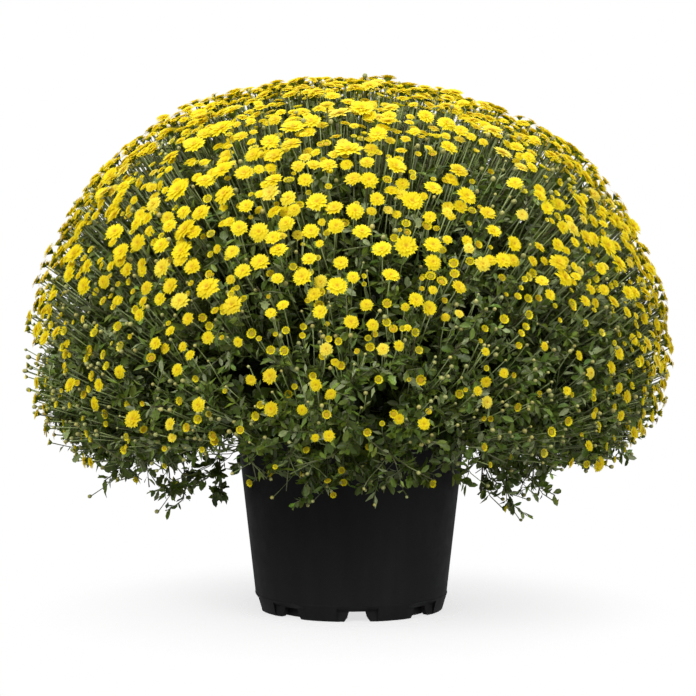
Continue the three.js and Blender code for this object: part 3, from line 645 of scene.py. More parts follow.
def ball(rings, sides, tall):
    """A bud of radius one, its base at the bottom. Marks run from its base to its top."""
    points, marks = [(0, 0, -tall)], [0.0]
    for ring in range(1, rings):
        angle = np.pi * ring / rings
        for side in range(sides):
            turn = 2 * np.pi * (side + 0.5 * (ring % 2)) / sides
            radius = math.sin(angle) * (1 - BUD_SWELL * math.cos(angle))
            points.append((radius * math.cos(turn), radius * math.sin(turn), -tall * math.cos(angle)))
            marks.append(ring / rings)
    faces = triangles(turned_faces(rings - 1, sides, 1, (0, len(points))))
    return Shape([*points, (0, 0, tall)], faces, [*marks, 1.0])


def calyx(depth, rim, bulging):
    """The green cup under a flower of radius one, from the top of its stalk to its petals."""
    angles = 2 * np.pi * np.arange(CALYX_SIDES) / CALYX_SIDES
    wide, deep = CALYX_BULGE
    bulge = [(wide * rim, -deep * depth)] if bulging else []
    rings = [(CALYX_FOOT, -depth), *bulge, (rim, -CALYX_LIP * depth)]
    points = [(r * math.cos(a), r * math.sin(a), z) for r, z in rings for a in angles]
    faces = tube_faces(len(rings), CALYX_SIDES)[: 2 * CALYX_SIDES * (len(rings) - 1)]
    return Shape(points, faces, [CALYX_MARK] * len(points))


# A leaf's outline on one side, as shares of its length: along it, and out from its rib.
LOBED_LEAF = {
    "rib": (0.26, 0.55, 0.78, 1.0),
    "edge": ((0.40, 0.19), (0.50, 0.13), (0.66, 0.29), (0.76, 0.19), (0.93, 0.17)),
    "faces": (("r0", "e0", "e1"), ("r0", "e1", "r1"), ("r1", "e1", "e2"), ("r1", "e2", "e3"),
              ("r1", "e3", "r2"), ("r2", "e3", "e4"), ("r2", "e4", "r3")),
}
ROUND_LEAF = {
    "rib": (0.24, 0.6, 1.0),
    "edge": ((0.42, 0.17), (0.70, 0.26), (0.92, 0.17)),
    "faces": (("r0", "e0", "r1"), ("r1", "e0", "e1"), ("r1", "e1", "e2"), ("r1", "e2", "r2")),
}
NARROW_LEAF = {
    "rib": (0.16, 0.55, 1.0),
    "edge": ((0.44, 0.15), (0.76, 0.14)),
    "faces": (("r0", "e0", "r1"), ("r1", "e0", "e1"), ("r1", "e1", "r2")),
}
SMALL_LEAF = {
    "rib": (0.0, 1.0),
    "edge": ((0.4, 0.23), (0.78, 0.2)),
    "faces": (("r0", "e0", "e1"), ("r0", "e1", "r1")),
}
LEAFLET = {
    "rib": (0.0, 1.0),
    "edge": ((0.45, 0.16),),
    "faces": (("r0", "e0", "r1"),),
}

# A leaf's stalk: half its width at its foot and under the blade, and how far it runs under that.
LEAF_STALK = (0.018, 0.022)
LEAF_STALK_LAP = 0.03

# The least and most that leaves droop, fold up at their edges, and twist.
LEAF_BENDS = ((-0.1, 0.4), (0.1, 0.55), (-0.5, 0.5))


def leaf(plan, droop, fold, twist):
    """A leaf one metre long along X, its upper side up. Marks are 0 on its rib and 1 on its edge."""
    rib = [(along, 0.0) for along in plan["rib"]]
    left = [(along, out) for along, out in plan["edge"]]
    right = [(along, -out) for along, out in plan["edge"]]
    flat = np.array(rib + left + right)
    order = {f"r{i}": i for i in range(len(rib))}
    faces = []
    for side, start in ((1, len(rib)), (-1, len(rib) + len(left))):
        names = {**order, **{f"e{i}": start + i for i in range(len(left))}}
        for corners in plan["faces"]:
            face = tuple(names[corner] for corner in corners)
            faces.append(face if side < 0 else face[::-1])
    marks = [0.0] * len(rib) + [1.0] * (len(left) + len(right))
    if plan["rib"][0] > 0:
        foot, top = LEAF_STALK
        end = plan["rib"][0] + LEAF_STALK_LAP
        stalk = [(0.0, foot), (0.0, -foot), (end, -top), (end, top)]
        base = len(flat)
        flat = np.vstack([flat, stalk])
        faces += [(base, base + 1, base + 2), (base, base + 2, base + 3)]
        marks += [0.0] * 4
    along, out = flat.T
    height = -droop * along**2 + fold * np.abs(out) + twist * out * along
    return Shape(np.column_stack([along, out, height]), faces, marks)


def leaf_kinds(plan, rng, count):
    """Several leaves of one plan, bent in different ways."""
    return [leaf(plan, *(rng.uniform(*bend) for bend in LEAF_BENDS)) for _ in range(count)]


# ---- The dome ----


def dome_section(plant):
    """The dome's outline from its top to its underside: polar angle, reach, and what faces out and up."""
    up, out = np.array(DOME_OUTLINE).T * np.array([[plant.tall], [plant.wide]])
    walked = np.concatenate([[0], np.cumsum(np.hypot(np.diff(up), np.diff(out)))])
    even = np.linspace(0, walked[-1], OUTLINE_STEPS)
    window = np.ones(OUTLINE_SMOOTHING) / OUTLINE_SMOOTHING
    half = OUTLINE_SMOOTHING // 2
    up = np.concatenate([up[0] * np.ones(half), np.interp(even, walked, up), up[-1] * np.ones(half)])
    out = np.interp(even, walked, out)
    out = np.concatenate([-out[half:0:-1], out, out[-1] * np.ones(half)])
    up, out = np.convolve(up, window, "valid"), np.convolve(out, window, "valid")
    rise = up - PIVOT[2]
    facing = unit(np.stack([-np.gradient(up), np.gradient(out)], axis=-1))
    return np.arctan2(np.maximum(out, 0), rise), np.hypot(out, rise), facing


def dome_reach(plant, polar):
    """From the pivot to the dome's surface, at polar angles."""
    polars, reaches, _ = dome_section(plant)
    return np.interp(polar, polars, reaches)


def heading_of(polar, azimuth):
    """Directions from the pivot."""
    return np.stack([np.sin(polar) * np.cos(azimuth), np.sin(polar) * np.sin(azimuth), np.cos(polar)], -1)


def dome_point(plant, polar, azimuth, share):
    """Points part of the way from the pivot to the dome's surface."""
    crown = np.interp(np.degrees(polar), CROWN_DEG, (1.0, 0.0)) * share
    shift = np.stack([-plant.crown_shift * crown, 0 * crown, 0 * crown], axis=-1)
    return PIVOT + heading_of(polar, azimuth) * (dome_reach(plant, polar) * share)[..., None] + shift


def dome_place(points):
    """The polar angle and azimuth of points, from the pivot."""
    offset = points - PIVOT
    polar = np.arccos(offset[..., 2] / np.linalg.norm(offset, axis=-1))
    return polar, np.arctan2(offset[..., 1], offset[..., 0])


def dome_share(plant, points):
    """How far out points are, as shares of the way to the dome's surface."""
    polar, _ = dome_place(points)
    return np.linalg.norm(points - PIVOT, axis=-1) / dome_reach(plant, polar)


def dome_normal(plant, points):
    """The directions that the dome's surface faces near points."""
    polars, _, facing = dome_section(plant)
    polar, azimuth = dome_place(points)
    out, up = np.interp(polar, polars, facing[:, 0]), np.interp(polar, polars, facing[:, 1])
    return unit(np.stack([out * np.cos(azimuth), out * np.sin(azimuth), up], axis=-1))


def by_polar(polar, table):
    """A value at polar angles, from a table over REACH_POLAR."""
    return np.interp(np.degrees(polar), REACH_POLAR, table)


def lowest_polar(azimuth):
    """The lowest polar angle of the leaves at azimuths. The front is a little higher."""
    front = np.clip(-np.sin(azimuth), 0, 1) ** FRONT_FALLOFF
    return np.radians(LOWEST_DEG + (LOWEST_FRONT_DEG - LOWEST_DEG) * front)


def even_places(plant, rng, count, lowest_deg):
    """Places scattered evenly over the dome's surface, and its area in square metres."""
    polar = np.linspace(0, math.radians(lowest_deg), AREA_STEPS)
    reach = dome_reach(plant, polar)
    out, rise = reach * np.sin(polar), reach * np.cos(polar)
    step = np.hypot(np.diff(out), np.diff(rise))
    area = np.concatenate([[0], np.cumsum(step * np.pi * (out[1:] + out[:-1]))])
    drawn = np.interp(rng.uniform(0, area[-1], count), area, polar)
    return drawn, rng.uniform(-np.pi, np.pi, count), area[-1]


# ---- The plan of the plant ----


def spray_list():
    """Each spray's name, polar limits, azimuth in the middle, half width and stem hole."""
    sprays = []
    for tier, (name, count, low, high, ring) in enumerate(TIERS):
        for index in range(count):
            middle = math.radians(TIER_TURN_DEG * tier) + 2 * np.pi * index / count
            sprays.append(
                {
                    "name": name if count == 1 else f"{name}_{index + 1:02d}",
                    "low": math.radians(low),
                    "high": math.radians(high),
                    "middle": middle,
                    "half": np.pi / count,
                    "hole": np.array([ring * math.cos(middle), ring * math.sin(middle), 0.0]),
                }
            )
    return sprays


def spray_of(sprays, polar, azimuth):
    """The index of the spray that each place belongs to."""
    owner = np.zeros(len(polar), int)
    for index, spray in enumerate(sprays):
        turn = (azimuth - spray["middle"]) / (2 * np.pi)
        off = np.abs(turn - np.round(turn)) * 2 * np.pi
        owner[(polar >= spray["low"]) & (polar < spray["high"]) & (off <= spray["half"] + 1e-9)] = index
    return owner


def kept_apart(points, radii, overlap, order, fixed=0):
    """Which points stay when each must keep its distance from those kept before it.

    The first few, as many as are fixed, all stay.
    """
    kept = list(range(fixed))
    for index in order:
        if kept:
            gap = np.linalg.norm(points[kept] - points[index], axis=1)
            if np.any(gap < overlap * (radii[kept] + radii[index])):
                continue
        kept.append(index)
    return np.array(kept)


def open_share(polar, azimuth):
    """How many times as many flowers are open at places given in degrees."""
    share = np.ones_like(polar)
    for middle, height, wide, tall, factor in PATCHES:
        off = (azimuth - middle + 180) % 360 - 180
        share += (factor - 1) * np.exp(-((off / wide) ** 2) - ((polar - height) / tall) ** 2)
    return share


def camera_place(stage):
    """Where the camera stands."""
    return np.array([stage.sideways, -stage.distance, stage.height])


def front_places(plant, stage):
    """Where the lines of sight to the front flowers meet the dome, and the flowers' radii."""
    eye = camera_place(stage)
    forward = unit(np.array([0.0, stage.distance, stage.aim - stage.height]))
    upward = np.cross([1.0, 0.0, 0.0], forward)
    focal = stage.lens / SENSOR_WIDTH * VIEW_PIXELS
    across, down, radius = np.array(FRONT_FLOWERS).T
    across, down = (across - VIEW_PIXELS / 2) / focal, (down - VIEW_PIXELS / 2) / focal
    sight = unit(forward - down[:, None] * upward + across[:, None] * [1.0, 0.0, 0.0])
    before, past = SIGHT_STRETCH
    steps = np.arange(stage.distance - before, stage.distance + past, SIGHT_STEP)
    share = dome_share(plant, eye + sight[:, None] * steps[:, None])
    inside = share <= 1
    step = np.where(inside.any(axis=1), inside.argmax(axis=1), share.argmin(axis=1))
    return eye + sight * steps[step][:, None], FRONT_SCALE * radius * steps[step] / focal


def head_rates(plant, rng, points, polar, azimuth, seen):
    """How many heads of each kind there are to a square decimetre, at places on the dome."""
    clumps = sum(weight * random_waves(rng, CLUMP_WAVES, length)(points) for weight, length in CLUMPS)
    crowd = np.exp(plant.clumping * clumps - CLUMP_BALANCE * plant.clumping**2)
    degrees = np.degrees(polar)
    crowd = crowd * open_share(degrees, np.degrees(azimuth))
    rates = np.stack([np.interp(degrees, DENSITY_POLAR, DENSITY[kind]) for kind in KINDS])
    rates[FULL] *= crowd
    rates[HALF_OPEN] *= np.sqrt(crowd)
    rates[FULL] *= np.interp(seen, FRONT_FACING, FRONT_CROWD)
    return rates


def by_kind(table, kind):
    """The value for each head's kind."""
    return np.array([table[each] for each in KINDS])[kind]


def draw_heads(plant, stage, rng):
    """Heads drawn all over the dome: their points, kinds and radii."""
    most = PLACES_PER_HEAD * max(sum(row) for row in zip(*DENSITY.values()))
    # One place is drawn only to learn the dome's area.
    _, _, area = even_places(plant, rng, 1, DENSITY_POLAR[-1])
    places = int(most * area * SQUARE_DECIMETRES)
    polar, azimuth, _ = even_places(plant, rng, places, DENSITY_POLAR[-1])
    points = dome_point(plant, polar, azimuth, np.ones_like(polar))
    seen = np.sum(dome_normal(plant, points) * unit(camera_place(stage) - points), axis=1)
    rates = head_rates(plant, rng, points, polar, azimuth, seen)
    drawn = rng.uniform(0, most, len(polar))
    kind = (drawn > np.cumsum(rates, axis=0)).sum(axis=0)
    past = np.degrees(polar - lowest_polar(azimuth))
    chosen = (kind <= BUD) & (rng.uniform(0, 1, len(kind)) > np.clip(past / FADE_DEG, 0, FADE_MOST))
    chosen &= (kind != FULL) | (past < 0)
    points, polar, kind, seen = points[chosen], polar[chosen], kind[chosen], seen[chosen]
    radii = by_kind(HEAD_RADIUS, kind) * (1 + by_kind(HEAD_SPREAD, kind) * rng.uniform(-1, 1, len(kind)))
    radii = radii * np.interp(np.degrees(polar), *LOW_HEAD_SIZE)
    return points, kind, np.where(kind == FULL, radii * np.interp(seen, FRONT_FACING, FRONT_SIZE), radii)


def scatter_heads(plant, stage, rng):
    """Every head's centre on the dome, facing, radius and kind. The front flowers come first."""
    points, kind, radii = draw_heads(plant, stage, rng)
    front, front_radii = front_places(plant, stage)
    count = len(front)
    points, radii = np.vstack([front, points]), np.concatenate([front_radii, radii])
    kind = np.concatenate([np.full(count, FULL), kind])
    # Open flowers choose their places first and buds last, and those of one kind in random order.
    order = count + np.argsort(kind[count:] + rng.uniform(0, SHUFFLE, len(kind) - count))
    kept = kept_apart(points, radii, HEAD_GAP, order, count)
    points, kind, radii = points[kept], kind[kept], radii[kept]
    normal = dome_normal(plant, points)
    polar, _ = dome_place(points)
    lean = plant.lean * by_polar(polar, LEAN)[:, None] * UP
    turned = normal * LEVEL + np.maximum(normal, UNDERSIDE_FACING * normal) * UP
    facing = unit(turned + lean + FACING_SPREAD * rng.normal(size=normal.shape))
    depth = rng.uniform(-1, 0, len(kind)) * by_kind(HEAD_DEPTH, kind)
    lift = (depth + HEAD_RISE)[:, None] * normal
    # The front flowers turn to the viewer and stand on their lines of sight.
    viewer = unit(camera_place(stage) - points[:count])
    facing[:count] = unit(facing[:count] + FRONT_TURN * viewer)
    lift[:count] = FRONT_LIFT * viewer
    radii[:count] *= np.clip(np.sum(facing[:count] * viewer, axis=1), LEAST_VIEW, 1) ** -0.5
    return {"centre": points + lift, "facing": facing, "radius": radii, "kind": kind}


# Branches that hang below the dome: the azimuth in degrees, the distance from the axis and the
# height of each one's tip, and how many heads it has.
HANGING = (
    (-103, 0.262, 0.198, 3), (-97, 0.236, 0.196, 3), (-92, 0.229, 0.197, 3), (-90, 0.240, 0.206, 2),
    (-100, 0.250, 0.190, 2), (-87, 0.232, 0.196, 3), (-82, 0.242, 0.194, 3), (-75, 0.262, 0.200, 2),
    (-109, 0.285, 0.206, 2), (-66, 0.296, 0.208, 2), (190, 0.166, 0.152, 2), (178, 0.212, 0.152, 2),
    (200, 0.240, 0.154, 3), (186, 0.258, 0.158, 3), (170, 0.280, 0.172, 2), (194, 0.298, 0.188, 3),
    (181, 0.325, 0.228, 3), (185, 0.340, 0.200, 3), (200, 0.335, 0.234, 2), (-8, 0.166, 0.152, 2),
    (-14, 0.200, 0.150, 2), (-10, 0.172, 0.196, 2), (-20, 0.200, 0.200, 2), (0, 0.215, 0.190, 2),
    (-32, 0.205, 0.204, 2), (4, 0.212, 0.154, 3), (-18, 0.238, 0.160, 3), (8, 0.264, 0.184, 2),
    (-12, 0.290, 0.196, 3), (-2, 0.325, 0.230, 3), (-4, 0.340, 0.200, 3), (-20, 0.335, 0.236, 2),
    (30, 0.280, 0.178, 3), (62, 0.240, 0.180, 3), (96, 0.255, 0.186, 4), (128, 0.235, 0.176, 3),
    (150, 0.285, 0.182, 3),
)


# Places that are tried for branches, down to where, how their limit and their tips vary, and
# between which heights they leave the main stems.
BRANCH_TRIES = 6000
BRANCH_LOWEST_DEG = 108
BRANCH_LIMIT_SPREAD = (-0.02, 0.03)
TIP_SPREAD = (-0.04, 0.02)
BRANCH_FOOT = (0.232, 0.262)

# How far branches set out sideways and up, as shares of their length, and how much more the low
# ones do. Low ones start at a polar angle, and are fully low so many degrees past it.
SET_OUT = ((0.16, 0.14), (0.26, 0.05))
LOW_BRANCH_DEG = (60, 50)

# How branches arrive: how much as the dome faces, how much rising by their polar angle in degrees,
# and over what share of their length. Then how far they wander.
ARRIVE_FACING = 0.4
ARRIVE_RISE = ((50, 70, 88, 100), (0, 0.45, 0.35, -0.2))
ARRIVE_SHARE = 0.34
BRANCH_WANDER = 0.012

# Branches that hang: where between foot and tip they turn, how far they rise over their foot and
# over their tip, and how far they swing out past it.
HANGING_MIDDLE = 0.5
HANGING_ARCH = (0.12, 0.095)
HANGING_SWING = 1.12

# Heads on the branches that hang: how far they scatter, how far out they are, how much that turns
# them, how far they look up, how many are half open, and how their sizes vary.
HANGING_SCATTER = (0.02, 0.02, 0.014)
HANGING_OUT = 0.018
HANGING_TURN = 20
HANGING_LOOK_UP = 0.1
HANGING_OPEN = 0.25
HANGING_SIZES = (0.8, 1.15)

# Each head joins the branch whose tip is nearest to a place this far down its stalk.
STALK_REACH = 0.035

# Stalks: between which shares of their branch they leave it, elsewhere and where they are low or
# hang, past which polar angle they are low, how far their ends are bent, and how much their tops
# turn to the head.
STALK_ROOTS = ((0.55, 0.88), (0.82, 0.99))
LOW_STALK_DEG = 96
STALK_BENDS = (0.25, 0.5)
STALK_TURN = 0.25

# Leafy shoots on each branch and on each that hangs, and between which shares of it they start.
# Then their lengths, how far forward they point, how far their ends are bent, how far their tips
# stay inside the leaves' limit, and how long they are where they hang.
SHOOTS = 5
HANGING_SHOOTS = 12
SHOOT_ROOTS = ((0.55, 0.97), (0.35, 1.0))
SHOOT_LENGTHS = (0.035, 0.075)
SHOOT_FORWARD = 0.7
SHOOT_BEND = 0.3
SHOOT_MARGIN = 0.015
HANGING_SHOOT = 0.6

# The least distance from the pot's axis to the tips of the shoots that hang beside it.
POT_CLEARANCE = 0.172


def plan_branches(plant, rng, sprays):
    """Each branch's curve and spray. The hanging ones come last."""
    polar, azimuth, _ = even_places(plant, rng, BRANCH_TRIES, BRANCH_LOWEST_DEG)
    points = dome_point(plant, polar, azimuth, np.ones_like(polar))
    # Each branch's own half of its distance to the next.
    spacing = np.full(len(points), 0.5 * math.sqrt(1.0 / plant.branches))
    inside = polar < lowest_polar(azimuth) + rng.uniform(*BRANCH_LIMIT_SPREAD, len(polar))
    kept = kept_apart(points, spacing, 1.0, np.nonzero(inside)[0])[: plant.branches]
    polar, azimuth = polar[kept], azimuth[kept]
    share = by_polar(polar, TIP_REACH) + rng.uniform(*TIP_SPREAD, len(polar))
    tips = dome_point(plant, polar, azimuth, share)
    angle, away, height, _ = np.array(HANGING, float).T
    angle = np.radians(angle)
    drops = np.column_stack([away * np.cos(angle), away * np.sin(angle), height])
    hung_polar, hung_azimuth = dome_place(drops)
    tips = np.vstack([tips, drops])
    polar = np.concatenate([polar, hung_polar])
    azimuth = np.concatenate([azimuth, hung_azimuth])
    owner = spray_of(sprays, polar, azimuth)
    holes = np.array([spray["hole"] for spray in sprays])[owner]
    start = holes + UP * rng.uniform(*BRANCH_FOOT, (len(tips), 1))
    outward = unit(tips * LEVEL + 1e-6)
    length = np.linalg.norm(tips - start, axis=1)[:, None]
    low = rising_from(np.degrees(polar), *LOW_BRANCH_DEG)[:, None]
    (out, more_out), (rise, more_rise) = SET_OUT
    first = start + length * (outward * (out + more_out * low) + UP * (rise + more_rise * low))
    rising = np.interp(np.degrees(polar), *ARRIVE_RISE)[:, None]
    radial = unit(tips - PIVOT)
    arrive = unit(blended(radial, dome_normal(plant, tips), ARRIVE_FACING) + UP * rising)
    last = tips - arrive * length * ARRIVE_SHARE
    jitter = rng.normal(size=(2, len(tips), 3)) * BRANCH_WANDER
    controls = np.stack([start, first + jitter[0], last + jitter[1], tips], axis=1)
    drop = controls[-len(drops):]
    over_foot, over_tip = HANGING_ARCH
    drop[:, 1] = drop[:, 0] + (drop[:, 3] - drop[:, 0]) * LEVEL * HANGING_MIDDLE + over_foot * UP
    drop[:, 2] = drop[:, 3] * (LEVEL * HANGING_SWING + UP) + over_tip * UP
    return controls, owner, tips, len(drops)


def hanging_heads(rng, tips):
    """Heads round the tips of the hanging branches."""
    centre, facing, kind = [], [], []
    for tip, row in zip(tips, HANGING):
        outward = unit(tip * LEVEL)
        for _ in range(row[3]):
            shift = rng.normal(size=3) * HANGING_SCATTER
            centre.append(tip + shift + outward * HANGING_OUT)
            facing.append(unit(outward + shift * HANGING_TURN + HANGING_LOOK_UP * UP))
            kind.append(rng.choice([HALF_OPEN, BUD], p=[HANGING_OPEN, 1 - HANGING_OPEN]))
    kind = np.array(kind)
    return {
        "centre": np.array(centre),
        "facing": np.array(facing),
        "radius": by_kind(HEAD_RADIUS, kind) * rng.uniform(*HANGING_SIZES, len(kind)),
        "kind": kind,
    }


def is_hung(plan, branch):
    """Whether branches, by their numbers, are among those that hang."""
    return branch >= len(plan["controls"]) - plan["hung"]


def plan_plant(scene):
    """The whole plant as arrays: its sprays, branches and heads."""
    plant = scene.chrysanthemum_plant
    rng = np.random.default_rng(plant.seed)
    sprays = spray_list()
    heads = scatter_heads(plant, scene.chrysanthemum_stage, rng)
    controls, owner, tips, hung = plan_branches(plant, rng, sprays)
    below = heads["centre"] - STALK_REACH * stalk_way(heads["centre"])
    nearest = np.array([np.argmin(np.linalg.norm(tips[:-hung] - place, axis=1)) for place in below])
    extra = hanging_heads(rng, tips[-hung:])
    counts = [row[3] for row in HANGING]
    branch = np.concatenate([nearest, len(tips) - hung + np.repeat(np.arange(hung), counts)])
    heads = {key: np.concatenate([heads[key], extra[key]]) for key in heads}
    heads["branch"] = branch
    heads["spray"] = owner[branch]
    heads["roll"] = rng.uniform(0, 2 * np.pi, len(branch))
    heads["age"] = rng.uniform(0, 1, len(branch))
    return {
        "rng": rng,
        "sprays": sprays,
        "controls": controls,
        "owner": owner,
        "heads": heads,
        "hung": hung,
    }


def stalk_way(points):
    """The directions that stalks take near points: outwards, and rising where the dome is steep."""
    polar, _ = dome_place(points)
    rising = np.interp(np.degrees(polar), *STALK_RISE)[:, None]
    return unit(unit(points - PIVOT) + rising * UP)


def draw_starts(rng, controls, limits, special):
    """Random starts on curves: their places and the curves' headings there.

    The limits are two pairs of shares of a curve, for most curves and for the special ones.
    """
    near, far = np.array(limits)[special.astype(int)].T
    times = rng.uniform(near, far)[:, None]
    return curve_points(controls, times)[:, 0], curve_headings(controls, times)[:, 0]


def plan_stalks(plan):
    """The curve of each head's stalk, from its branch to the underside of the head."""
    rng, heads = plan["rng"], plan["heads"]
    low = np.degrees(dome_place(heads["centre"])[0]) > LOW_STALK_DEG
    controls = plan["controls"][heads["branch"]]
    root, heading = draw_starts(rng, controls, STALK_ROOTS, is_hung(plan, heads["branch"]) | low)
    depth = by_kind(HEAD_BASE, heads["kind"]) * heads["radius"]
    end = heads["centre"] - heads["facing"] * depth[:, None]
    length = np.linalg.norm(end - root, axis=1)[:, None]
    low_bend, high_bend = STALK_BENDS
    first = root + unit(heading + unit(end - root)) * length * low_bend
    last = end - unit(stalk_way(end) + STALK_TURN * heads["facing"]) * length * high_bend
    return np.stack([root, first, last, end], axis=1)


def plan_twigs(plant, plan):
    """Short leafy shoots on the branches: their curves and their branches."""
    rng = plan["rng"]
    shoots = np.full(len(plan["controls"]), SHOOTS)
    shoots[-plan["hung"] :] = HANGING_SHOOTS
    branch = np.repeat(np.arange(len(shoots)), shoots)
    hung = is_hung(plan, branch)
    root, heading = draw_starts(rng, plan["controls"][branch], SHOOT_ROOTS, hung)
    hung = hung[:, None]
    side = unit(np.cross(heading, rng.normal(size=heading.shape)))
    aim = unit(heading * SHOOT_FORWARD + side)
    length = rng.uniform(*SHOOT_LENGTHS, (len(branch), 1))
    tip = root + aim * length
    polar, azimuth = dome_place(tip)
    share = np.minimum(dome_share(plant, tip), by_polar(polar, LEAF_LIMIT) - SHOOT_MARGIN)
    inner = dome_point(plant, polar, azimuth, share)
    tip = np.where(hung, root + aim * length * HANGING_SHOOT, inner)
    # Shoots that hang beside the pot keep clear of its wall.
    level = tip * LEVEL
    short = np.maximum(POT_CLEARANCE - np.linalg.norm(level, axis=1, keepdims=True), 0)
    tip = tip + unit(level) * short * hung
    aim = np.where(hung, unit(tip - root), aim)
    first, last = root + heading * length * SHOOT_BEND, tip - aim * length * SHOOT_BEND
    return np.stack([root, first, last, tip], axis=1), branch


# ---- Leaves on the plan ----

# How far each leaf turns on from the one before it, in radians, and how much that varies.
LEAF_SPIN = 2.4
LEAF_SPIN_SPREAD = 0.5

# How much leaves point along their curve, out of the dome and anyhow, and how much their upper
# sides look out of it, up and anyhow.
LEAF_WAY = (0.5, 0.25, 0.25)
LEAF_LOOK = (0.8, 0.9, 0.6)

# How much the leaves' limits vary: out from the dome's middle, and down.
LIMIT_SPREAD = (-0.03, 0.01)
LOWEST_SPREAD = (-0.03, 0.06)

# Leaves on the branches that hang: how large they are, how far out they may grow, how far out they
# count at least for the leaves' painted shade, as a share of the way out, and how many of them are
# kept.
HANGING_LEAF = 1.05
HANGING_LIMIT = 2.0
HANGING_SHADE_SHARE = 0.9
HANGING_KEPT = 0.6

# The roots and tips of leaves are past this radius or over this height, and so clear of the pot.
CLEAR_ROOT = (0.165, 0.262)
CLEAR_TIP = (0.16, 0.25)

# How unevenly leaves stand on a branch, where they start on a shoot, and how their sizes vary.
LEAF_PLACE_SPREAD = (-0.02, 0.02)
SHOOT_LEAVES_FROM = 0.25
BRANCH_LEAF_SIZES = (0.7, 1.15)
SHOOT_LEAF_SIZES = (0.6, 1.15)


def clear_of_pot(points, limits):
    """Whether places are past a radius or over a height."""
    radius, height = limits
    return (np.linalg.norm(points[..., :2], axis=-1) > radius) | (points[..., 2] > height)


def leaves_along(plant, plan, controls, times, sizes, hung):
    """Leaves in a spiral along curves: their roots, turns and sizes. Those past the limit are dropped."""
    rng = plan["rng"]
    roots = curve_points(controls, times)
    headings = curve_headings(controls, times)
    sizes = sizes * np.where(hung[:, None], HANGING_LEAF, 1.0)
    spin = np.arange(times.shape[1]) * LEAF_SPIN + rng.uniform(0, 2 * np.pi, (len(controls), 1))
    spin = spin + rng.uniform(-LEAF_SPIN_SPREAD, LEAF_SPIN_SPREAD, spin.shape)
    spare = unit(rng.normal(size=headings.shape))
    across = unit(np.cross(headings, spare))
    along = np.cross(headings, across)
    side = across * np.cos(spin)[..., None] + along * np.sin(spin)[..., None]
    outside = dome_normal(plant, roots)
    ahead, out, anyhow = LEAF_WAY
    forward = unit(side + headings * ahead + outside * out + rng.normal(size=side.shape) * anyhow)
    out, up, anyhow = LEAF_LOOK
    upward = outside * out + up * UP + rng.normal(size=side.shape) * anyhow
    tips = roots + forward * sizes[..., None]
    polar, azimuth = dome_place(tips)
    limit = np.where(hung[:, None], HANGING_LIMIT, by_polar(polar, LEAF_LIMIT))
    good = dome_share(plant, tips) <= limit + rng.uniform(*LIMIT_SPREAD, limit.shape)
    good &= clear_of_pot(roots, CLEAR_ROOT) & clear_of_pot(tips, CLEAR_TIP)
    good &= hung[:, None] | (polar < lowest_polar(azimuth) + rng.uniform(*LOWEST_SPREAD, polar.shape))
    good &= ~hung[:, None] | (rng.uniform(0, 1, polar.shape) < HANGING_KEPT)
    rows = np.nonzero(good)
    turns = turn_to(forward[rows], upward[rows]) * sizes[rows][:, None, None]
    # Leaves that hang take little of the painted shade inside the plant.
    share = np.maximum(dome_share(plant, roots[rows]), np.where(hung[rows[0]], HANGING_SHADE_SHARE, 0))
    return {"root": roots[rows], "turn": turns, "row": rows[0], "share": share}


def branch_leaves(plant, plan, count, low, high, size):
    """Leaves on the branches, between two shares of their length."""
    rng, controls = plan["rng"], plan["controls"]
    places = (len(controls), count)
    times = np.linspace(low, high, count)[None] + rng.uniform(*LEAF_PLACE_SPREAD, places)
    sizes = size * rng.uniform(*BRANCH_LEAF_SIZES, places)
    hung = is_hung(plan, np.arange(len(controls)))
    leaves = leaves_along(plant, plan, controls, np.clip(times, 0, 1), sizes, hung)
    leaves["spray"] = plan["owner"][leaves["row"]]
    return leaves


def twig_leaves(plant, plan, twigs, branch, count, size):
    """Leaves on the short shoots."""
    times = repeated(np.linspace(SHOOT_LEAVES_FROM, 1.0, count), len(twigs))
    sizes = size * plan["rng"].uniform(*SHOOT_LEAF_SIZES, times.shape)
    leaves = leaves_along(plant, plan, twigs, times, sizes, is_hung(plan, branch))
    leaves["spray"] = plan["owner"][branch][leaves["row"]]
    return leaves


# ---- Colours on the plan ----

# Where a petal's colour takes over from the middle's, where its pale tip, partly painted highlight,
# starts, and over what lengths.
MIDDLE_EDGE = (0.05, 0.3)
TIP_HIGHLIGHT_EDGE = (0.82, 0.18)

# How petals change with age. Old ones are golden: how fast, less how much, and at most how far.
# Young ones are pale, partly as painted highlight: how far all over, how soon that ends, and until
# when and how far at the tips.
OLD_GOLD = (1.6, 0.9, 0.7)
YOUNG_PALE_HIGHLIGHT = (0.4, 3)
PALE_TIP_HIGHLIGHT = (0.55, 0.5)

# Leaves deeper inside the plant are darker with painted shade, and older: from which share of the
# way out they take the outer colour, over how much, and how their colours vary.
INNER_SHADE_FADE = (0.6, 0.35)
LEAF_VALUE_SPREAD = 0.34
LEAF_WARMTH_SPREAD = 0.1
LEAF_WARMTH = np.array([1.0, 0.2, -0.8])

# How many of the leaves that are further out of that painted shade than this show their paler, greyer
# backs, and how much. These pale leaves also stand in for painted glints.
BACK_AND_GLINT_SHARE = 0.16
BACK_AND_GLINT_OUT_OF_SHADE = 0.5
BACK_AND_GLINT_BLEND = 0.5


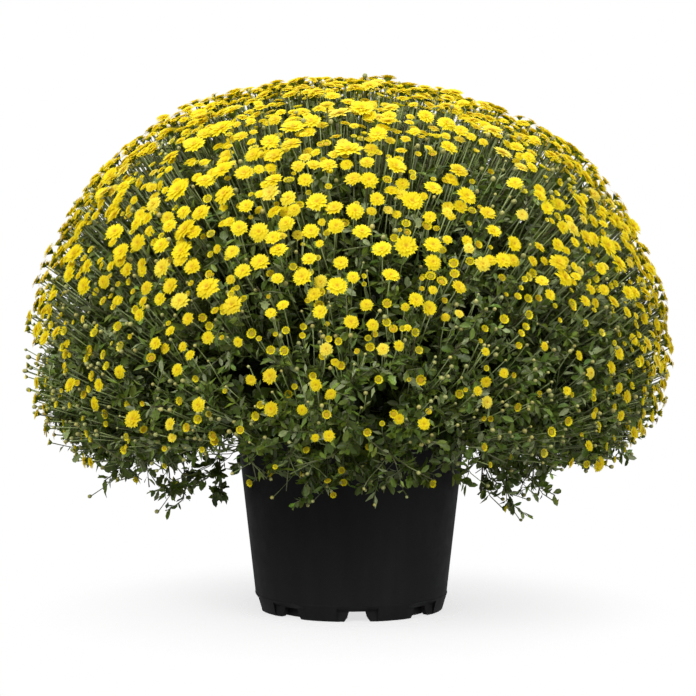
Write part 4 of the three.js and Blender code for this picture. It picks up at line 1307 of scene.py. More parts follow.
def petal_shades(plant, shape, ages, eye):
    """Colours of flowers' corners: a darker eye, yellow petals golden with age, pale young ones and tips,
    partly painted highlight.
    """
    marks = shape.marks[None]
    ages = ages[:, None]
    tip = rising_from(marks, *TIP_HIGHLIGHT_EDGE)
    speed, delay, most = OLD_GOLD
    gold = np.clip(speed * ages - delay, 0, most) * np.ones_like(marks)
    start, pace = YOUNG_PALE_HIGHLIGHT
    until, most = PALE_TIP_HIGHLIGHT
    # Pale young petals and pale tips: partly painted highlight.
    pale = np.clip(start - pace * ages, 0, 1) + tip * np.clip(until - ages, 0, most)
    body = blended(np.array(plant.petal), np.array(plant.petal_gold), gold)
    body = blended(body, np.array(plant.petal_pale_highlight), pale)
    return blended(eye, body, rising_from(marks, *MIDDLE_EDGE))


def leaf_shades(plant, rng, shares):
    """A colour for each leaf: darker inside with age and painted shade; some pale backs also paint glints.
    """
    # Painted shade: the deeper inside the plant a leaf is, the more of the inner leaves' darker colour it
    # takes.
    out_of_shade = rising_from(shares, *INNER_SHADE_FADE)
    colour = blended(np.array(plant.leaf_shaded_inside), np.array(plant.leaf), out_of_shade)
    value = np.exp(rng.normal(size=(len(shares), 1)) * LEAF_VALUE_SPREAD)
    warm = rng.normal(size=(len(shares), 1)) * LEAF_WARMTH_SPREAD
    colour = colour * value * (1 + warm * LEAF_WARMTH)
    # Paler backs on some outer leaves: the real undersides, and painted glints too.
    back_and_glint = (rng.uniform(0, 1, len(shares)) < BACK_AND_GLINT_SHARE) & (out_of_shade > BACK_AND_GLINT_OUT_OF_SHADE)
    paler = BACK_AND_GLINT_BLEND * colour + (1 - BACK_AND_GLINT_BLEND) * np.array(plant.leaf_back_and_glint)
    return np.where(back_and_glint[:, None], paler, colour)


# ---- Materials ----


def new_material(name):
    """An empty node material and its tree."""
    made = bpy.data.materials.new(name)
    made.use_nodes = True
    made.node_tree.nodes.clear()
    return made, made.node_tree


def add_node(tree, kind, inputs=None, **fields):
    """A node with its fields set and its inputs set or linked."""
    made = tree.nodes.new(kind)
    for field, value in fields.items():
        setattr(made, field, value)
    for socket, value in (inputs or {}).items():
        if isinstance(value, bpy.types.NodeSocket):
            tree.links.new(value, made.inputs[socket])
        else:
            made.inputs[socket].default_value = value
    return made


def noise(tree, scale, detail=3.0, stretch=None):
    """A noise pattern in the piece's own coordinates, in metres."""
    where = add_node(tree, "ShaderNodeTexCoord").outputs["Object"]
    if stretch:
        where = add_node(tree, "ShaderNodeMapping", {"Vector": where, "Scale": stretch}).outputs["Vector"]
    made = add_node(tree, "ShaderNodeTexNoise", {"Vector": where, "Scale": scale, "Detail": detail})
    return made.outputs["Fac"]


def ranged(tree, value, low, high, start=0.3, end=0.7):
    """A pattern's usual range stretched to another."""
    inputs = {"Value": value, "From Min": start, "From Max": end, "To Min": low, "To Max": high}
    return add_node(tree, "ShaderNodeMapRange", inputs).outputs["Result"]


def stored(tree, name, output="Color"):
    """What the mesh's corners hold under a name."""
    return add_node(tree, "ShaderNodeAttribute", attribute_name=name).outputs[output]


def brightened(tree, colour, value):
    """A colour with its brightness multiplied by a pattern."""
    inputs = {"Color": colour, "Value": value}
    return add_node(tree, "ShaderNodeHueSaturation", inputs).outputs["Color"]


def finish_material(tree, colour, roughness, bump, strength, specular, thin=0.0):
    """The surface shader and the output. Thin blades let that share of the light through."""
    inputs = {"Height": bump, "Strength": strength, "Distance": MM}
    inputs = {
        "Base Color": colour,
        "Roughness": roughness,
        "Normal": add_node(tree, "ShaderNodeBump", inputs).outputs["Normal"],
        "Specular IOR Level": specular,
    }
    surface = add_node(tree, "ShaderNodeBsdfPrincipled", inputs).outputs["BSDF"]
    if thin:
        through = add_node(tree, "ShaderNodeBsdfTranslucent", {"Color": colour}).outputs["BSDF"]
        surface = add_node(tree, "ShaderNodeMixShader", {0: thin, 1: surface, 2: through}).outputs["Shader"]
    add_node(tree, "ShaderNodeOutputMaterial", {"Surface": surface})


def petal_material():
    """Soft matt petals, mottled a little, with fine ridges."""
    made, tree = new_material("petal_yellow")
    colour = brightened(tree, stored(tree, "shade"), ranged(tree, noise(tree, 140.0), 0.93, 1.05))
    rough = ranged(tree, noise(tree, 260.0), 0.5, 0.68)
    ridges = noise(tree, 1900.0, 2.0)
    finish_material(tree, colour, rough, ridges, strength=0.25, specular=0.3, thin=0.3)
    return made


def foliage_material():
    """Leaves with a pale rib and mottled blades, and stalks and buds in their own colours."""
    made, tree = new_material("foliage_green")
    rib = ranged(tree, stored(tree, "mark", "Fac"), 1.35, 1.0, 0.0, 0.16)
    mottle = ranged(tree, noise(tree, 320.0, 5.0), 0.78, 1.22)
    value = add_node(tree, "ShaderNodeMath", {0: rib, 1: mottle}, operation="MULTIPLY").outputs["Value"]
    colour = brightened(tree, stored(tree, "shade"), value)
    rough = ranged(tree, noise(tree, 210.0), 0.3, 0.52)
    veins = noise(tree, 700.0, 4.0)
    finish_material(tree, colour, rough, veins, strength=0.35, specular=0.45, thin=0.12)
    return made


def plastic_material(pot):
    """Dark moulded plastic with a faint grain and faint streaks down the wall."""
    made, tree = new_material("dark_plastic")
    streak = noise(tree, 46.0, 4.0, stretch=(1.0, 1.0, 0.12))
    colour = brightened(tree, (*pot.plastic, 1.0), ranged(tree, streak, 0.96, 1.2, 0.42, 0.7))
    rough = ranged(tree, noise(tree, 60.0, 4.0), 0.5, 0.62)
    finish_material(tree, colour, rough, noise(tree, 900.0, 2.0), strength=0.12, specular=0.12)
    return made


def mix_material():
    """Peat and bark, with colours from the grain."""
    made, tree = new_material("peat_mix")
    colour = brightened(tree, stored(tree, "shade"), ranged(tree, noise(tree, 420.0, 6.0), 0.6, 1.3))
    rough = ranged(tree, noise(tree, 300.0), 0.85, 1.0)
    finish_material(tree, colour, rough, noise(tree, 1200.0, 5.0), strength=0.6, specular=0.2)
    return made


# ---- Pot ----

# How many steps round a corner, and the most of its shorter side that it may take.
CORNER_STEPS = 4
CORNER_MOST = 0.45

# Edges of the pot that are sharper than this stay sharp.
SHARP_DEG = 35


def rounded_corner(before, corner, after, radius):
    """Points that round a profile's corner."""
    to_before, to_after = unit(before - corner), unit(after - corner)
    angle = math.acos(float(np.clip(to_before @ to_after, -1, 1)))
    shorter = min(np.linalg.norm(before - corner), np.linalg.norm(after - corner))
    reach = min(radius / math.tan(angle / 2), CORNER_MOST * shorter)
    start, end = corner + to_before * reach, corner + to_after * reach
    times = np.linspace(0, 1, CORNER_STEPS + 1)[:, None]
    return start * (1 - times) ** 2 + 2 * corner * times * (1 - times) + end * times**2


def pot_wall_radius(height):
    """The outer radius of the pot's side at a height, in millimetres."""
    share = (height - FOOT_HEIGHT) / (POT_HEIGHT - FOOT_HEIGHT)
    return POT_BASE_RADIUS + (POT_TOP_RADIUS - POT_BASE_RADIUS) * share


def pot_profile():
    """The pot's section, from the axis under its floor round to the axis over it, in millimetres."""
    rim = POT_HEIGHT - RIM_HEIGHT
    corner = FOOT_HEIGHT + FLOOR_THICKNESS + FLOOR_CORNER_HEIGHT
    lip = POT_TOP_RADIUS + RIM_OUTSET
    # Each corner's radius from the axis, its height, and how far it is rounded.
    rows = [
        (0, FOOT_HEIGHT, 0),
        (SKIRT_INNER_RADIUS, FOOT_HEIGHT, 0.8),
        (SKIRT_INNER_RADIUS, 0, 0.6),
        (SKIRT_OUTER_RADIUS, 0, 0.6),
        (SKIRT_OUTER_RADIUS, FOOT_HEIGHT, 0.6),
        (FOOT_INNER_RADIUS, FOOT_HEIGHT, 0.8),
        (FOOT_INNER_RADIUS + FOOT_DRAFT, 0, 0.8),
        (FOOT_OUTER_RADIUS, 0, 1.0),
        (POT_BASE_RADIUS + FOOT_LEDGE, FOOT_HEIGHT - FOOT_LEDGE, 0.4),
        (POT_BASE_RADIUS, FOOT_HEIGHT, 0.3),
        (pot_wall_radius(rim), rim, 1.2),
        (lip, rim + RIM_SLOPE, 1.2),
        (lip, POT_HEIGHT, 1.6),
        (POT_TOP_RADIUS - POT_WALL, POT_HEIGHT, 0.8),
        (pot_wall_radius(corner) - POT_WALL, corner, 10),
        (FLOOR_CORNER_RADIUS, FOOT_HEIGHT + FLOOR_THICKNESS, 6),
        (0, FOOT_HEIGHT + FLOOR_THICKNESS, 0),
    ]
    corners = np.array([row[:2] for row in rows], float)
    points = [corners[:1]]
    for index, row in enumerate(rows[1:-1]):
        points.append(rounded_corner(*corners[index : index + 3], row[2]))
    points.append(corners[-1:])
    return np.concatenate(points)


def lathe(name, profile, segments):
    """A closed solid turned about the Z axis from a profile that starts and ends on it."""
    angles = 2 * np.pi * np.arange(segments) / segments
    inner = profile[1:-1]
    away, height = inner[:, :1], inner[:, 1:] * np.ones(segments)
    rings = np.stack([away * np.cos(angles), away * np.sin(angles), height], -1)
    points = np.vstack([rings.reshape(-1, 3), [[0, 0, profile[0, 1]], [0, 0, profile[-1, 1]]]])
    faces = turned_faces(len(inner), segments, 0, (len(points) - 2, len(points) - 1))
    return mesh_object(name, points * MM, faces)


def mesh_object(name, points, faces):
    """A mesh object in the scene."""
    mesh = bpy.data.meshes.new(name)
    mesh.from_pydata([tuple(point) for point in points], [], faces)
    mesh.update()
    return link(bpy.data.objects.new(name, mesh))


def prism(name, outline, width, azimuth, along_radius):
    """A cutter: an outline of millimetres pushed through a width, then turned to an azimuth.

    The outline is of radius and height when it is pushed sideways, and of sideways place and
    height when it is pushed along the radius from where width starts to where it ends.
    """
    low, high = width
    points = []
    for depth in (low, high):
        for first, height in outline:
            x, y = (depth, first) if along_radius else (first, depth)
            points.append((x, y, height))
    points = np.array(points) * MM
    cos, sin = math.cos(azimuth), math.sin(azimuth)
    points = points @ np.array([[cos, sin, 0], [-sin, cos, 0], [0, 0, 1]])
    count = len(outline)
    sides = [(i, (i + 1) % count, count + (i + 1) % count, count + i) for i in range(count)]
    faces = [tuple(reversed(range(count))), tuple(range(count, 2 * count))] + sides
    made = mesh_object(name, points, faces)
    clean = bmesh.new()
    clean.from_mesh(made.data)
    bmesh.ops.recalc_face_normals(clean, faces=clean.faces)
    clean.to_mesh(made.data)
    clean.free()
    return made


def pot_cutters():
    """What is cut from the pot's foot and floor: pockets, notches and drain holes."""
    cutters = []
    pocket = (
        (POT_BASE_RADIUS + CUT_MARGIN, FOOT_HEIGHT),
        (POCKET_BACK_RADIUS, POCKET_HEIGHT),
        (POCKET_BACK_RADIUS, -CUT_MARGIN),
        (POT_TOP_RADIUS, -CUT_MARGIN),
        (POT_TOP_RADIUS, FOOT_HEIGHT),
    )
    top, bottom = NOTCH_TOP_WIDTH / 2, NOTCH_BOTTOM_WIDTH / 2
    notch = (
        (-bottom, -CUT_MARGIN),
        (bottom, -CUT_MARGIN),
        (top + NOTCH_SPLAY, NOTCH_SPLAY_SHARE * NOTCH_HEIGHT),
        (top, NOTCH_HEIGHT),
        (-top, NOTCH_HEIGHT),
        (-top - NOTCH_SPLAY, NOTCH_SPLAY_SHARE * NOTCH_HEIGHT),
    )
    floor_top = FOOT_HEIGHT + FLOOR_THICKNESS + CUT_MARGIN
    drain = (
        (DRAIN_OUTER_RADIUS - DRAIN_LENGTH, FOOT_HEIGHT - CUT_MARGIN),
        (DRAIN_OUTER_RADIUS, FOOT_HEIGHT - CUT_MARGIN),
        (DRAIN_OUTER_RADIUS, floor_top),
        (DRAIN_OUTER_RADIUS - DRAIN_LENGTH, floor_top),
    )
    # Every other notch goes through the skirt too, and lets water out.
    inner = (SKIRT_INNER_RADIUS - NOTCH_SPLAY, SKIRT_OUTER_RADIUS + NOTCH_SPLAY)
    for index in range(NOTCH_COUNT):
        azimuth = math.radians(FIRST_NOTCH_DEG) + 2 * np.pi * index / NOTCH_COUNT
        cutters.append(prism("pocket", pocket, (-POCKET_WIDTH / 2, POCKET_WIDTH / 2), azimuth, False))
        cutters.append(prism("notch", notch, (inner[index % 2], POT_BASE_RADIUS), azimuth, True))
        cutters.append(prism("drain", drain, (-DRAIN_WIDTH / 2, DRAIN_WIDTH / 2), azimuth, False))
    return cutters


def apply_modifiers(made):
    """Replaces an object's mesh by what its modifiers make of it."""
    graph = bpy.context.evaluated_depsgraph_get()
    shaped = bpy.data.meshes.new_from_object(made.evaluated_get(graph))
    old = made.data
    made.modifiers.clear()
    made.data = shaped
    bpy.data.meshes.remove(old)


def make_pot(pot):
    """The pot: a turned shell with a ring foot and a skirt in it, cut by pockets, notches and drains."""
    made = lathe("nursery_pot", pot_profile(), POT_SEGMENTS)
    cutters = pot_cutters()
    for cutter in cutters:
        step = made.modifiers.new(cutter.name, "BOOLEAN")
        step.operation = "DIFFERENCE"
        step.solver = "MANIFOLD"
        step.object = cutter
    apply_modifiers(made)
    for cutter in cutters:
        bpy.data.objects.remove(cutter)
    made.data.materials.clear()
    made.data.materials.append(plastic_material(pot))
    for polygon in made.data.polygons:
        polygon.material_index = 0
        polygon.use_smooth = True
    made.data.set_sharp_from_angle(angle=math.radians(SHARP_DEG))
    return made


# ---- Potting mix ----

# The bed's rings and segments, how the rings crowd to its edge, its waves and how long they are,
# how high they and its grains rise and sink, how far its edge sinks, its width at the bottom, as a
# share of that at the top, and its grains' tones between the two colours.
MIX_SEED = 5
MIX_RINGS = 30
MIX_SEGMENTS = 110
MIX_CROWDING = 0.8
MIX_WAVES = (30, 0.03)
MIX_WAVE_HEIGHT = 0.0007
MIX_GRAIN = (-0.0012, 0.0006)
MIX_SINK = 0.001
MIX_EDGE_SINK = 0.004
MIX_BOTTOM = 0.86
MIX_TONES = (0, 0.35)

# Bark chips: how far they keep from the bed's edge, how deep they lie, how far they tilt, half
# their sizes in millimetres, how much their corners are worn, and their tones.
CHIP_MARGIN = 0.008
CHIP_SINK = 0.0008
CHIP_TILT = 0.25
CHIP_HALVES = ((2, 6), (1.2, 3), (0.5, 1.4))
CHIP_WEAR = (0.75, 1.0)
CHIP_TONES = (0.2, 1)
CHIP_FACES = (
    (0, 2, 1), (1, 2, 3), (4, 5, 6), (5, 7, 6), (0, 1, 4), (1, 5, 4),
    (2, 6, 3), (3, 6, 7), (0, 4, 2), (2, 4, 6), (1, 3, 5), (3, 7, 5),
)


def mix_shades(pot, tones):
    """Colours of the mix, from its peat's to its bark's."""
    return blended(np.array(pot.mix_dark), np.array(pot.mix_light), tones)


def make_mix(pot):
    """Potting mix: a grained bed in the pot, with bark chips on it."""
    rng = np.random.default_rng(MIX_SEED)
    top, low, radius = MIX_HIGH.z, MIX_LOW.z, MIX_HIGH.x
    rings, segments = MIX_RINGS, MIX_SEGMENTS
    radii = np.linspace(0, 1, rings + 1)[1:] ** MIX_CROWDING * radius
    angles = 2 * np.pi * np.arange(segments) / segments
    bumps = random_waves(rng, *MIX_WAVES)
    x, y = radii[:, None] * np.cos(angles), radii[:, None] * np.sin(angles)
    flat = np.stack([x, y, np.full_like(x, top)], -1)
    flat[..., 2] += MIX_WAVE_HEIGHT * bumps(flat) + rng.uniform(*MIX_GRAIN, x.shape) - MIX_SINK
    flat[-1, :, 2] = top - MIX_EDGE_SINK
    base = np.stack([x[-1] * MIX_BOTTOM, y[-1] * MIX_BOTTOM, np.full(segments, low)], -1)
    points = np.vstack([flat.reshape(-1, 3), base, [[0, 0, top], [0, 0, low]]])
    # The rings are listed from the top's middle out and down, so faces run the other way round.
    faces = turned_faces(rings + 1, segments, 0, (len(points) - 2, len(points) - 1))
    faces = triangles([(face[0], *face[:0:-1]) for face in faces])
    heap = Heap()
    shades = mix_shades(pot, rng.uniform(*MIX_TONES, (1, len(points))))
    heap.add(points[None], np.array(faces), shades, np.ones(len(points)))
    add_chips(heap, pot, rng, top, radius - CHIP_MARGIN)
    return heap.build("peat_and_bark", mix_material())


def add_chips(heap, pot, rng, top, radius):
    """Bark chips that lie half sunk in the mix."""
    count = pot.chips
    corner = np.array([(x, y, z) for z in (-1, 1) for y in (-1, 1) for x in (-1, 1)], float)
    away = radius * np.sqrt(rng.uniform(0, 1, count))
    angle = rng.uniform(0, 2 * np.pi, count)
    height = np.full(count, top - CHIP_SINK)
    centres = np.column_stack([away * np.cos(angle), away * np.sin(angle), height])
    facing = unit(UP + CHIP_TILT * rng.normal(size=(count, 3)))
    halves = np.column_stack([rng.uniform(*half, count) for half in CHIP_HALVES])
    shape = corner[None] * halves[:, None] * MM * rng.uniform(*CHIP_WEAR, (count, len(corner), 1))
    turns = turn_about(facing, rng.uniform(0, 2 * np.pi, count))
    points = centres[:, None] + np.einsum("nij,nkj->nki", turns, shape)
    shades = mix_shades(pot, rng.uniform(*CHIP_TONES, (count, 1)))
    heap.add(points, np.array(CHIP_FACES), shades, np.ones(len(corner)))


# ---- Foliage and flowers ----

# Main stems: how far under the mix they start, how far over it they are as thick as there, where
# they end, their radii at those three heights, and their sides.
STEM_SUNK = 0.054
STEM_OVER = 0.004
STEM_TOP = 0.266
STEM_RADII = (0.0048, 0.0048, 0.0042)
STEM_SIDES = 7

# Branches and shoots: how many places there are along each, its sides, its radii at its foot and at
# its tip, and how its tone varies from the stems' colour to the stalks'.
BRANCH_TUBE = (7, 5, (0.0026, 0.0009), (0, 0.5))
SHOOT_TUBE = (3, 3, (0.0012, 0.0007), (0.3, 0.9))

# Stalks: sides, radius for each kind of head, how that changes from root to head, and how bright
# they are.
STALK_SIDES = 3
STALK_RADII = {FULL: 0.0008, HALF_OPEN: 0.0007, BUD: 0.0006}
STALK_TAPER = (1.0, 0.95, 0.95, 1.15)
STALK_VALUES = (0.3, 1.95)

# Leaflets on the stalks: how many kinds, how many to a stalk, between which shares of it, how far
# they point up it, how much their upper sides vary, their sizes, how far out they count for the
# leaves' painted shade, and how bright they are.
LEAFLET_KINDS = 3
LEAFLETS = 4
LEAFLET_PLACES = (0.05, 0.85)
LEAFLET_FORWARD = 0.7
LEAFLET_SPREAD = 0.3
LEAFLET_SIZES = (0.008, 0.018)
LEAFLET_SHADE_SHARE = 0.95
LEAFLET_VALUE = 1.15

# Leaves on the branches, from the old ones inside to the small ones outside: their plan, how many
# kinds of it, how many to a branch, between which shares of its length, and their size. Then the
# same for those all along the shoots.
BRANCH_LEAVES = (
    (ROUND_LEAF, 4, 9, 0.3, 0.68, 0.042),
    (LOBED_LEAF, 6, 12, 0.6, 1.0, 0.0205),
    (NARROW_LEAF, 6, 18, 0.7, 1.0, 0.0148),
)
SHOOT_LEAVES = (SMALL_LEAF, 8, 20, 0.0142)

# Buds: how bright their tops are, how much redder and less blue some are, how bright their green
# bases are, and from which mark the tops' colour takes over, over how much.
BUD_VALUES = (0.75, 1.1)
BUD_TINT = np.array([0.2, 0.0, -0.28])
BUD_BASE_VALUE = 0.85
BUD_TOP = (0.3, 0.35)

# How bright the cups under the flowers are, as times the leaves' colour.
CALYX_VALUE = 1.5

# How many different open and half-open flowers there are.
FULL_FORMS = 9
HALF_OPEN_FORMS = 5


def add_sorted_tubes(heaps, owner, path, radii, sides, shades):
    """Adds tubes to the heaps of their sprays."""
    for index, heap in enumerate(heaps):
        mine = owner == index
        add_tubes(heap, path[mine], radii[mine], sides, shades[mine])


def woody_tubes(plant, rng, heaps, owner, curves, tube):
    """Branches or shoots, which taper to their tips."""
    steps, sides, ends, tones = tube
    path = curve_points(curves, repeated(np.linspace(0, 1, steps), len(curves)))
    radii = repeated(np.linspace(*ends, steps), len(path))
    shades = blended(np.array(plant.stem), np.array(plant.stalk), rng.uniform(*tones, len(path)))
    add_sorted_tubes(heaps, owner, path, radii, sides, shades)


def stem_tubes(plant, plan, heaps):
    """The main stems."""
    top = MIX_HIGH.z
    heights = np.array([top - STEM_SUNK, top + STEM_OVER, STEM_TOP])[:, None]
    for spray, heap in zip(plan["sprays"], heaps):
        path = spray["hole"] + heights * UP
        add_tubes(heap, path[None], np.array([STEM_RADII]), STEM_SIDES, np.array([plant.stem]))


def stalk_tubes(plant, plan, heaps, stalks):
    """Flower stalks with narrow leaflets on them."""
    rng, heads = plan["rng"], plan["heads"]
    path = curve_points(stalks, repeated(np.linspace(0, 1, len(STALK_TAPER)), len(stalks)))
    radii = by_kind(STALK_RADII, heads["kind"])[:, None] * STALK_TAPER
    shades = np.array(plant.stalk) * rng.uniform(*STALK_VALUES, (len(stalks), 1))
    leaflets = leaf_kinds(LEAFLET, rng, LEAFLET_KINDS)
    spots = rng.uniform(*LEAFLET_PLACES, (len(stalks), LEAFLETS))
    roots, ways = curve_points(stalks, spots), curve_headings(stalks, spots)
    side = unit(np.cross(ways, rng.normal(size=ways.shape)))
    forward = unit(ways * LEAFLET_FORWARD + side)
    upward = ways + LEAFLET_SPREAD * rng.normal(size=ways.shape)
    sizes = rng.uniform(*LEAFLET_SIZES, spots.shape)
    turns = turn_to(forward, upward) * sizes[..., None, None]
    tones = leaf_shades(plant, rng, np.full(spots.size, LEAFLET_SHADE_SHARE)) * LEAFLET_VALUE
    tones = tones.reshape(*spots.shape, 3)
    pick = rng.integers(0, len(leaflets), len(stalks))
    add_sorted_tubes(heaps, heads["spray"], path, radii, STALK_SIDES, shades)
    for index, heap in enumerate(heaps):
        for kind, shape in enumerate(leaflets):
            rows = (heads["spray"] == index) & (pick == kind)
            places, ways = roots[rows].reshape(-1, 3), turns[rows].reshape(-1, 3, 3)
            heap.add_shape(shape, places, ways, tones[rows].reshape(-1, 1, 3))


def add_leaves(plant, plan, heaps, leaves, outline, kinds):
    """Leaves of several kinds into the heaps of their sprays."""
    rng = plan["rng"]
    shapes = leaf_kinds(outline, rng, kinds)
    pick = rng.integers(0, kinds, len(leaves["root"]))
    shades = leaf_shades(plant, rng, leaves["share"])
    for index, heap in enumerate(heaps):
        for kind, shape in enumerate(shapes):
            rows = (leaves["spray"] == index) & (pick == kind)
            heap.add_shape(shape, leaves["root"][rows], leaves["turn"][rows], shades[rows][:, None])


def all_leaves(plant, plan, heaps, twigs, branch):
    """The leaves of the branches and of the shoots."""
    for outline, kinds, *layout in BRANCH_LEAVES:
        add_leaves(plant, plan, heaps, branch_leaves(plant, plan, *layout), outline, kinds)
    outline, kinds, *layout = SHOOT_LEAVES
    add_leaves(plant, plan, heaps, twig_leaves(plant, plan, twigs, branch, *layout), outline, kinds)


def head_turns(heads):
    """The heads' turns, which also scale them."""
    return turn_about(heads["facing"], heads["roll"]) * heads["radius"][:, None, None]


def bud_and_calyx(plant, plan, heaps):
    """Closed buds, and the green cups under the open heads."""
    rng, heads = plan["rng"], plan["heads"]
    turns = head_turns(heads)
    bud = ball(*BUD_SHAPE)
    top = np.array(plant.bud) * rng.uniform(*BUD_VALUES, (len(turns), 1))
    top = top * (1 + rng.uniform(0, 1, (len(turns), 1)) * BUD_TINT)
    low = np.array(plant.stalk) * BUD_BASE_VALUE
    bud_shades = blended(low, top[:, None], rising_from(bud.marks, *BUD_TOP)[None])
    cups = {kind: calyx(HEAD_BASE[kind], *rim) for kind, rim in CALYX_RIMS.items()}
    green = np.array(plant.leaf) * CALYX_VALUE
    for index, heap in enumerate(heaps):
        mine = heads["spray"] == index
        rows = mine & (heads["kind"] == BUD)
        heap.add_shape(bud, heads["centre"][rows], turns[rows], bud_shades[rows])
        for kind, shape in cups.items():
            rows = mine & (heads["kind"] == kind)
            heap.add_shape(shape, heads["centre"][rows], turns[rows], green)


def open_heads(plant, plan, heaps):
    """Open and half-open flowers, of several forms each."""
    rng, heads = plan["rng"], plan["heads"]
    turns = head_turns(heads)
    kinds = (
        (FULL, full_flower, FULL_FORMS, plant.eye),
        (HALF_OPEN, half_open_flower, HALF_OPEN_FORMS, plant.young_eye),
    )
    for kind, maker, count, eye in kinds:
        shapes = [maker(rng) for _ in range(count)]
        pick = rng.integers(0, count, len(turns))
        for number, shape in enumerate(shapes):
            for index, heap in enumerate(heaps):
                rows = (heads["spray"] == index) & (heads["kind"] == kind) & (pick == number)
                ages = heads["age"][rows]
                middle = blended(np.array(eye), np.array(plant.eye), ages)[:, None]
                shades = petal_shades(plant, shape, ages, middle)
                heap.add_shape(shape, heads["centre"][rows], turns[rows], shades)


def attach(made, node):
    """Makes a piece ride on the body and stand for its node, whose own part is hidden."""
    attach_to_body(made, BODY)
    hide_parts(node)


def attach_sprays(plan, heaps, part, material):
    """Builds each spray's heap as a piece that stands for the spray's node."""
    for spray, heap in zip(plan["sprays"], heaps):
        attach(heap.build(f"{spray['name']}_{part}", material), spray["name"])


# ---- Operators ----


class CHRYSANTHEMUM_OT_stage(bpy.types.Operator):
    """Sets up the camera, the floor and the soft lights"""

    bl_idname = "chrysanthemum.stage"
    bl_label = "Set the stage"

    def execute(self, context):
        make_stage(context.scene, context.scene.chrysanthemum_stage)
        return {"FINISHED"}


class CHRYSANTHEMUM_OT_pot(bpy.types.Operator):
    """Makes the nursery pot"""

    bl_idname = "chrysanthemum.pot"
    bl_label = "Make the pot"

    def execute(self, context):
        made = make_pot(context.scene.chrysanthemum_pot)
        if len(made.data.polygons) < POT_SEGMENTS:
            raise RuntimeError("the pot's cuts left no pot")
        attach(made, "pot")
        return {"FINISHED"}


class CHRYSANTHEMUM_OT_mix(bpy.types.Operator):
    """Fills the pot with potting mix"""

    bl_idname = "chrysanthemum.mix"
    bl_label = "Fill with potting mix"

    def execute(self, context):
        made = make_mix(context.scene.chrysanthemum_pot)
        attach(made, "potting_mix")
        return {"FINISHED"}


class CHRYSANTHEMUM_OT_foliage(bpy.types.Operator):
    """Grows each spray's stems, leaves, stalks and buds"""

    bl_idname = "chrysanthemum.foliage"
    bl_label = "Grow the foliage"

    def execute(self, context):
        plant = context.scene.chrysanthemum_plant
        plan = plan_plant(context.scene)
        heaps = [Heap() for _ in plan["sprays"]]
        stalks = plan_stalks(plan)
        twigs, branch = plan_twigs(plant, plan)
        stem_tubes(plant, plan, heaps)
        woody_tubes(plant, plan["rng"], heaps, plan["owner"], plan["controls"], BRANCH_TUBE)
        woody_tubes(plant, plan["rng"], heaps, plan["owner"][branch], twigs, SHOOT_TUBE)
        stalk_tubes(plant, plan, heaps, stalks)
        all_leaves(plant, plan, heaps, twigs, branch)
        bud_and_calyx(plant, plan, heaps)
        attach_sprays(plan, heaps, "foliage", foliage_material())
        return {"FINISHED"}


class CHRYSANTHEMUM_OT_flowers(bpy.types.Operator):
    """Opens each spray's flowers"""

    bl_idname = "chrysanthemum.flowers"
    bl_label = "Open the flowers"

    def execute(self, context):
        plant = context.scene.chrysanthemum_plant
        plan = plan_plant(context.scene)
        heaps = [Heap() for _ in plan["sprays"]]
        open_heads(plant, plan, heaps)
        attach_sprays(plan, heaps, "flowers", petal_material())
        return {"FINISHED"}


class CHRYSANTHEMUM_PT_panel(bpy.types.Panel):
    """Lists the steps that build the pot chrysanthemum"""

    bl_idname = "CHRYSANTHEMUM_PT_panel"
    bl_label = "Pot chrysanthemum"
    bl_space_type = "VIEW_3D"
    bl_region_type = "UI"
    bl_category = "Chrysanthemum"

    def draw(self, context):
        column = self.layout.column(align=True)
        for operator in OPERATORS:
            column.operator(operator.bl_idname)
        for name, settings in SETTINGS:
            box = self.layout.box()
            group = getattr(context.scene, name)
            for field in settings.__annotations__:
                box.prop(group, field)


# ---- Stage ----


def aim_at(made, target):
    """Points a light or camera at a place."""
    offset = made.location - target
    made.rotation_mode = "QUATERNION"
    made.rotation_quaternion = offset.to_track_quat("Z", "Y")


def soft_light(name, place, size, power):
    """A square area light."""
    lamp = bpy.data.lights.new(name, "AREA")
    lamp.shape = "SQUARE"
    lamp.size = size
    lamp.energy = power
    made = link(bpy.data.objects.new(name, lamp))
    made.location = place
    aim_at(made, LIGHTS_AIM)


# The floor: its radius, its sides, how far it lies under the pot, its colour, and how clear it
# gets between two distances from the pot.
FLOOR_RADIUS = 4.5
FLOOR_SIDES = 96
FLOOR_DROP = 0.0005
FLOOR_COLOUR = (0.95, 0.95, 0.945, 1)
FLOOR_FADE = (0.7, 1.0, 0.1, 0.42)

# Each light's setting, place and width, and the place that they all point at.
LIGHTS = (
    ("key", (-2.4, -3.0, 2.9), 1.9),
    ("fill", (2.9, -2.4, 1.6), 2.4),
    ("overhead", (0.2, 0.4, 3.4), 2.4),
)
LIGHTS_AIM = Vector((0, 0, 0.36))


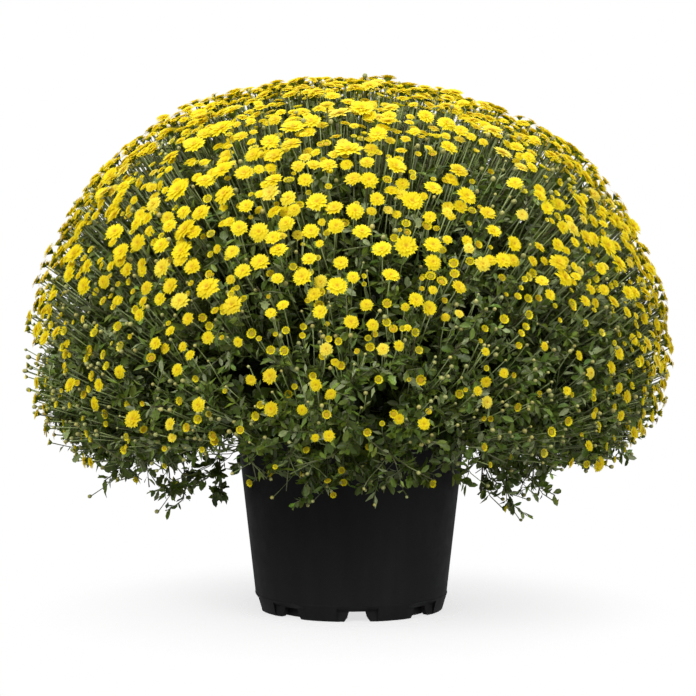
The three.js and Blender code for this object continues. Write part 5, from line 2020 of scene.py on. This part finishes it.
def make_floor():
    """A pale round floor that fades out at its edge."""
    angles = 2 * np.pi * np.arange(FLOOR_SIDES) / FLOOR_SIDES
    points = [(FLOOR_RADIUS * math.cos(a), FLOOR_RADIUS * math.sin(a), -FLOOR_DROP) for a in angles]
    floor = mesh_object("floor", points, [tuple(range(FLOOR_SIDES))])
    made, tree = new_material("pale_floor")
    where = add_node(tree, "ShaderNodeTexCoord").outputs["Object"]
    away = add_node(tree, "ShaderNodeVectorMath", {0: where}, operation="LENGTH").outputs["Value"]
    fade = ranged(tree, away, *FLOOR_FADE)
    tone = ranged(tree, noise(tree, 3.0), 0.94, 0.96)
    inputs = {"Base Color": FLOOR_COLOUR, "Roughness": tone, "Specular IOR Level": 0.1}
    paint = add_node(tree, "ShaderNodeBsdfPrincipled", inputs).outputs["BSDF"]
    clear = add_node(tree, "ShaderNodeBsdfTransparent").outputs["BSDF"]
    both = add_node(tree, "ShaderNodeMixShader", {0: fade, 1: paint, 2: clear}).outputs["Shader"]
    add_node(tree, "ShaderNodeOutputMaterial", {"Surface": both})
    floor.data.materials.append(made)


def make_surround(scene, strength):
    """White all round, which lights the plant less than it shows."""
    world = bpy.data.worlds.new("surround")
    world.use_nodes = True
    tree = world.node_tree
    tree.nodes.clear()
    seen = add_node(tree, "ShaderNodeLightPath").outputs["Is Camera Ray"]
    power = ranged(tree, seen, strength, 1.0, 0.0, 1.0)
    light = add_node(tree, "ShaderNodeBackground", {"Color": (1, 1, 1, 1), "Strength": power})
    add_node(tree, "ShaderNodeOutputWorld", {"Surface": light.outputs["Background"]})
    scene.world = world


def make_stage(scene, stage):
    """The camera, floor, lights and surround."""
    lens = bpy.data.cameras.new("camera")
    lens.lens = stage.lens
    lens.sensor_width = SENSOR_WIDTH
    camera = link(bpy.data.objects.new("camera", lens))
    camera.location = camera_place(stage)
    aim_at(camera, Vector((stage.sideways, 0, stage.aim)))
    scene.camera = camera
    make_floor()
    for name, place, size in LIGHTS:
        soft_light(f"{name}_light", place, size, getattr(stage, name))
    make_surround(scene, stage.surround)
    scene.view_settings.view_transform = "Standard"


# ---- Registration ----

OPERATORS = (
    CHRYSANTHEMUM_OT_stage,
    CHRYSANTHEMUM_OT_pot,
    CHRYSANTHEMUM_OT_mix,
    CHRYSANTHEMUM_OT_foliage,
    CHRYSANTHEMUM_OT_flowers,
)
SETTINGS = (
    ("chrysanthemum_pot", PotSettings),
    ("chrysanthemum_plant", PlantSettings),
    ("chrysanthemum_stage", StageSettings),
)


def register():
    """Registers the classes and puts the settings on the scene."""
    for name, settings in SETTINGS:
        bpy.utils.register_class(settings)
        setattr(bpy.types.Scene, name, bpy.props.PointerProperty(type=settings))
    for operator in OPERATORS:
        bpy.utils.register_class(operator)
    bpy.utils.register_class(CHRYSANTHEMUM_PT_panel)


def unregister():
    """Takes everything off again."""
    bpy.utils.unregister_class(CHRYSANTHEMUM_PT_panel)
    for operator in reversed(OPERATORS):
        bpy.utils.unregister_class(operator)
    for name, settings in reversed(SETTINGS):
        delattr(bpy.types.Scene, name)
        bpy.utils.unregister_class(settings)


def main():
    register()
    bpy.ops.chrysanthemum.stage()
    bpy.ops.chrysanthemum.pot()
    bpy.ops.chrysanthemum.mix()
    bpy.ops.chrysanthemum.foliage()
    bpy.ops.chrysanthemum.flowers()


if __name__ == "__main__":
    main()
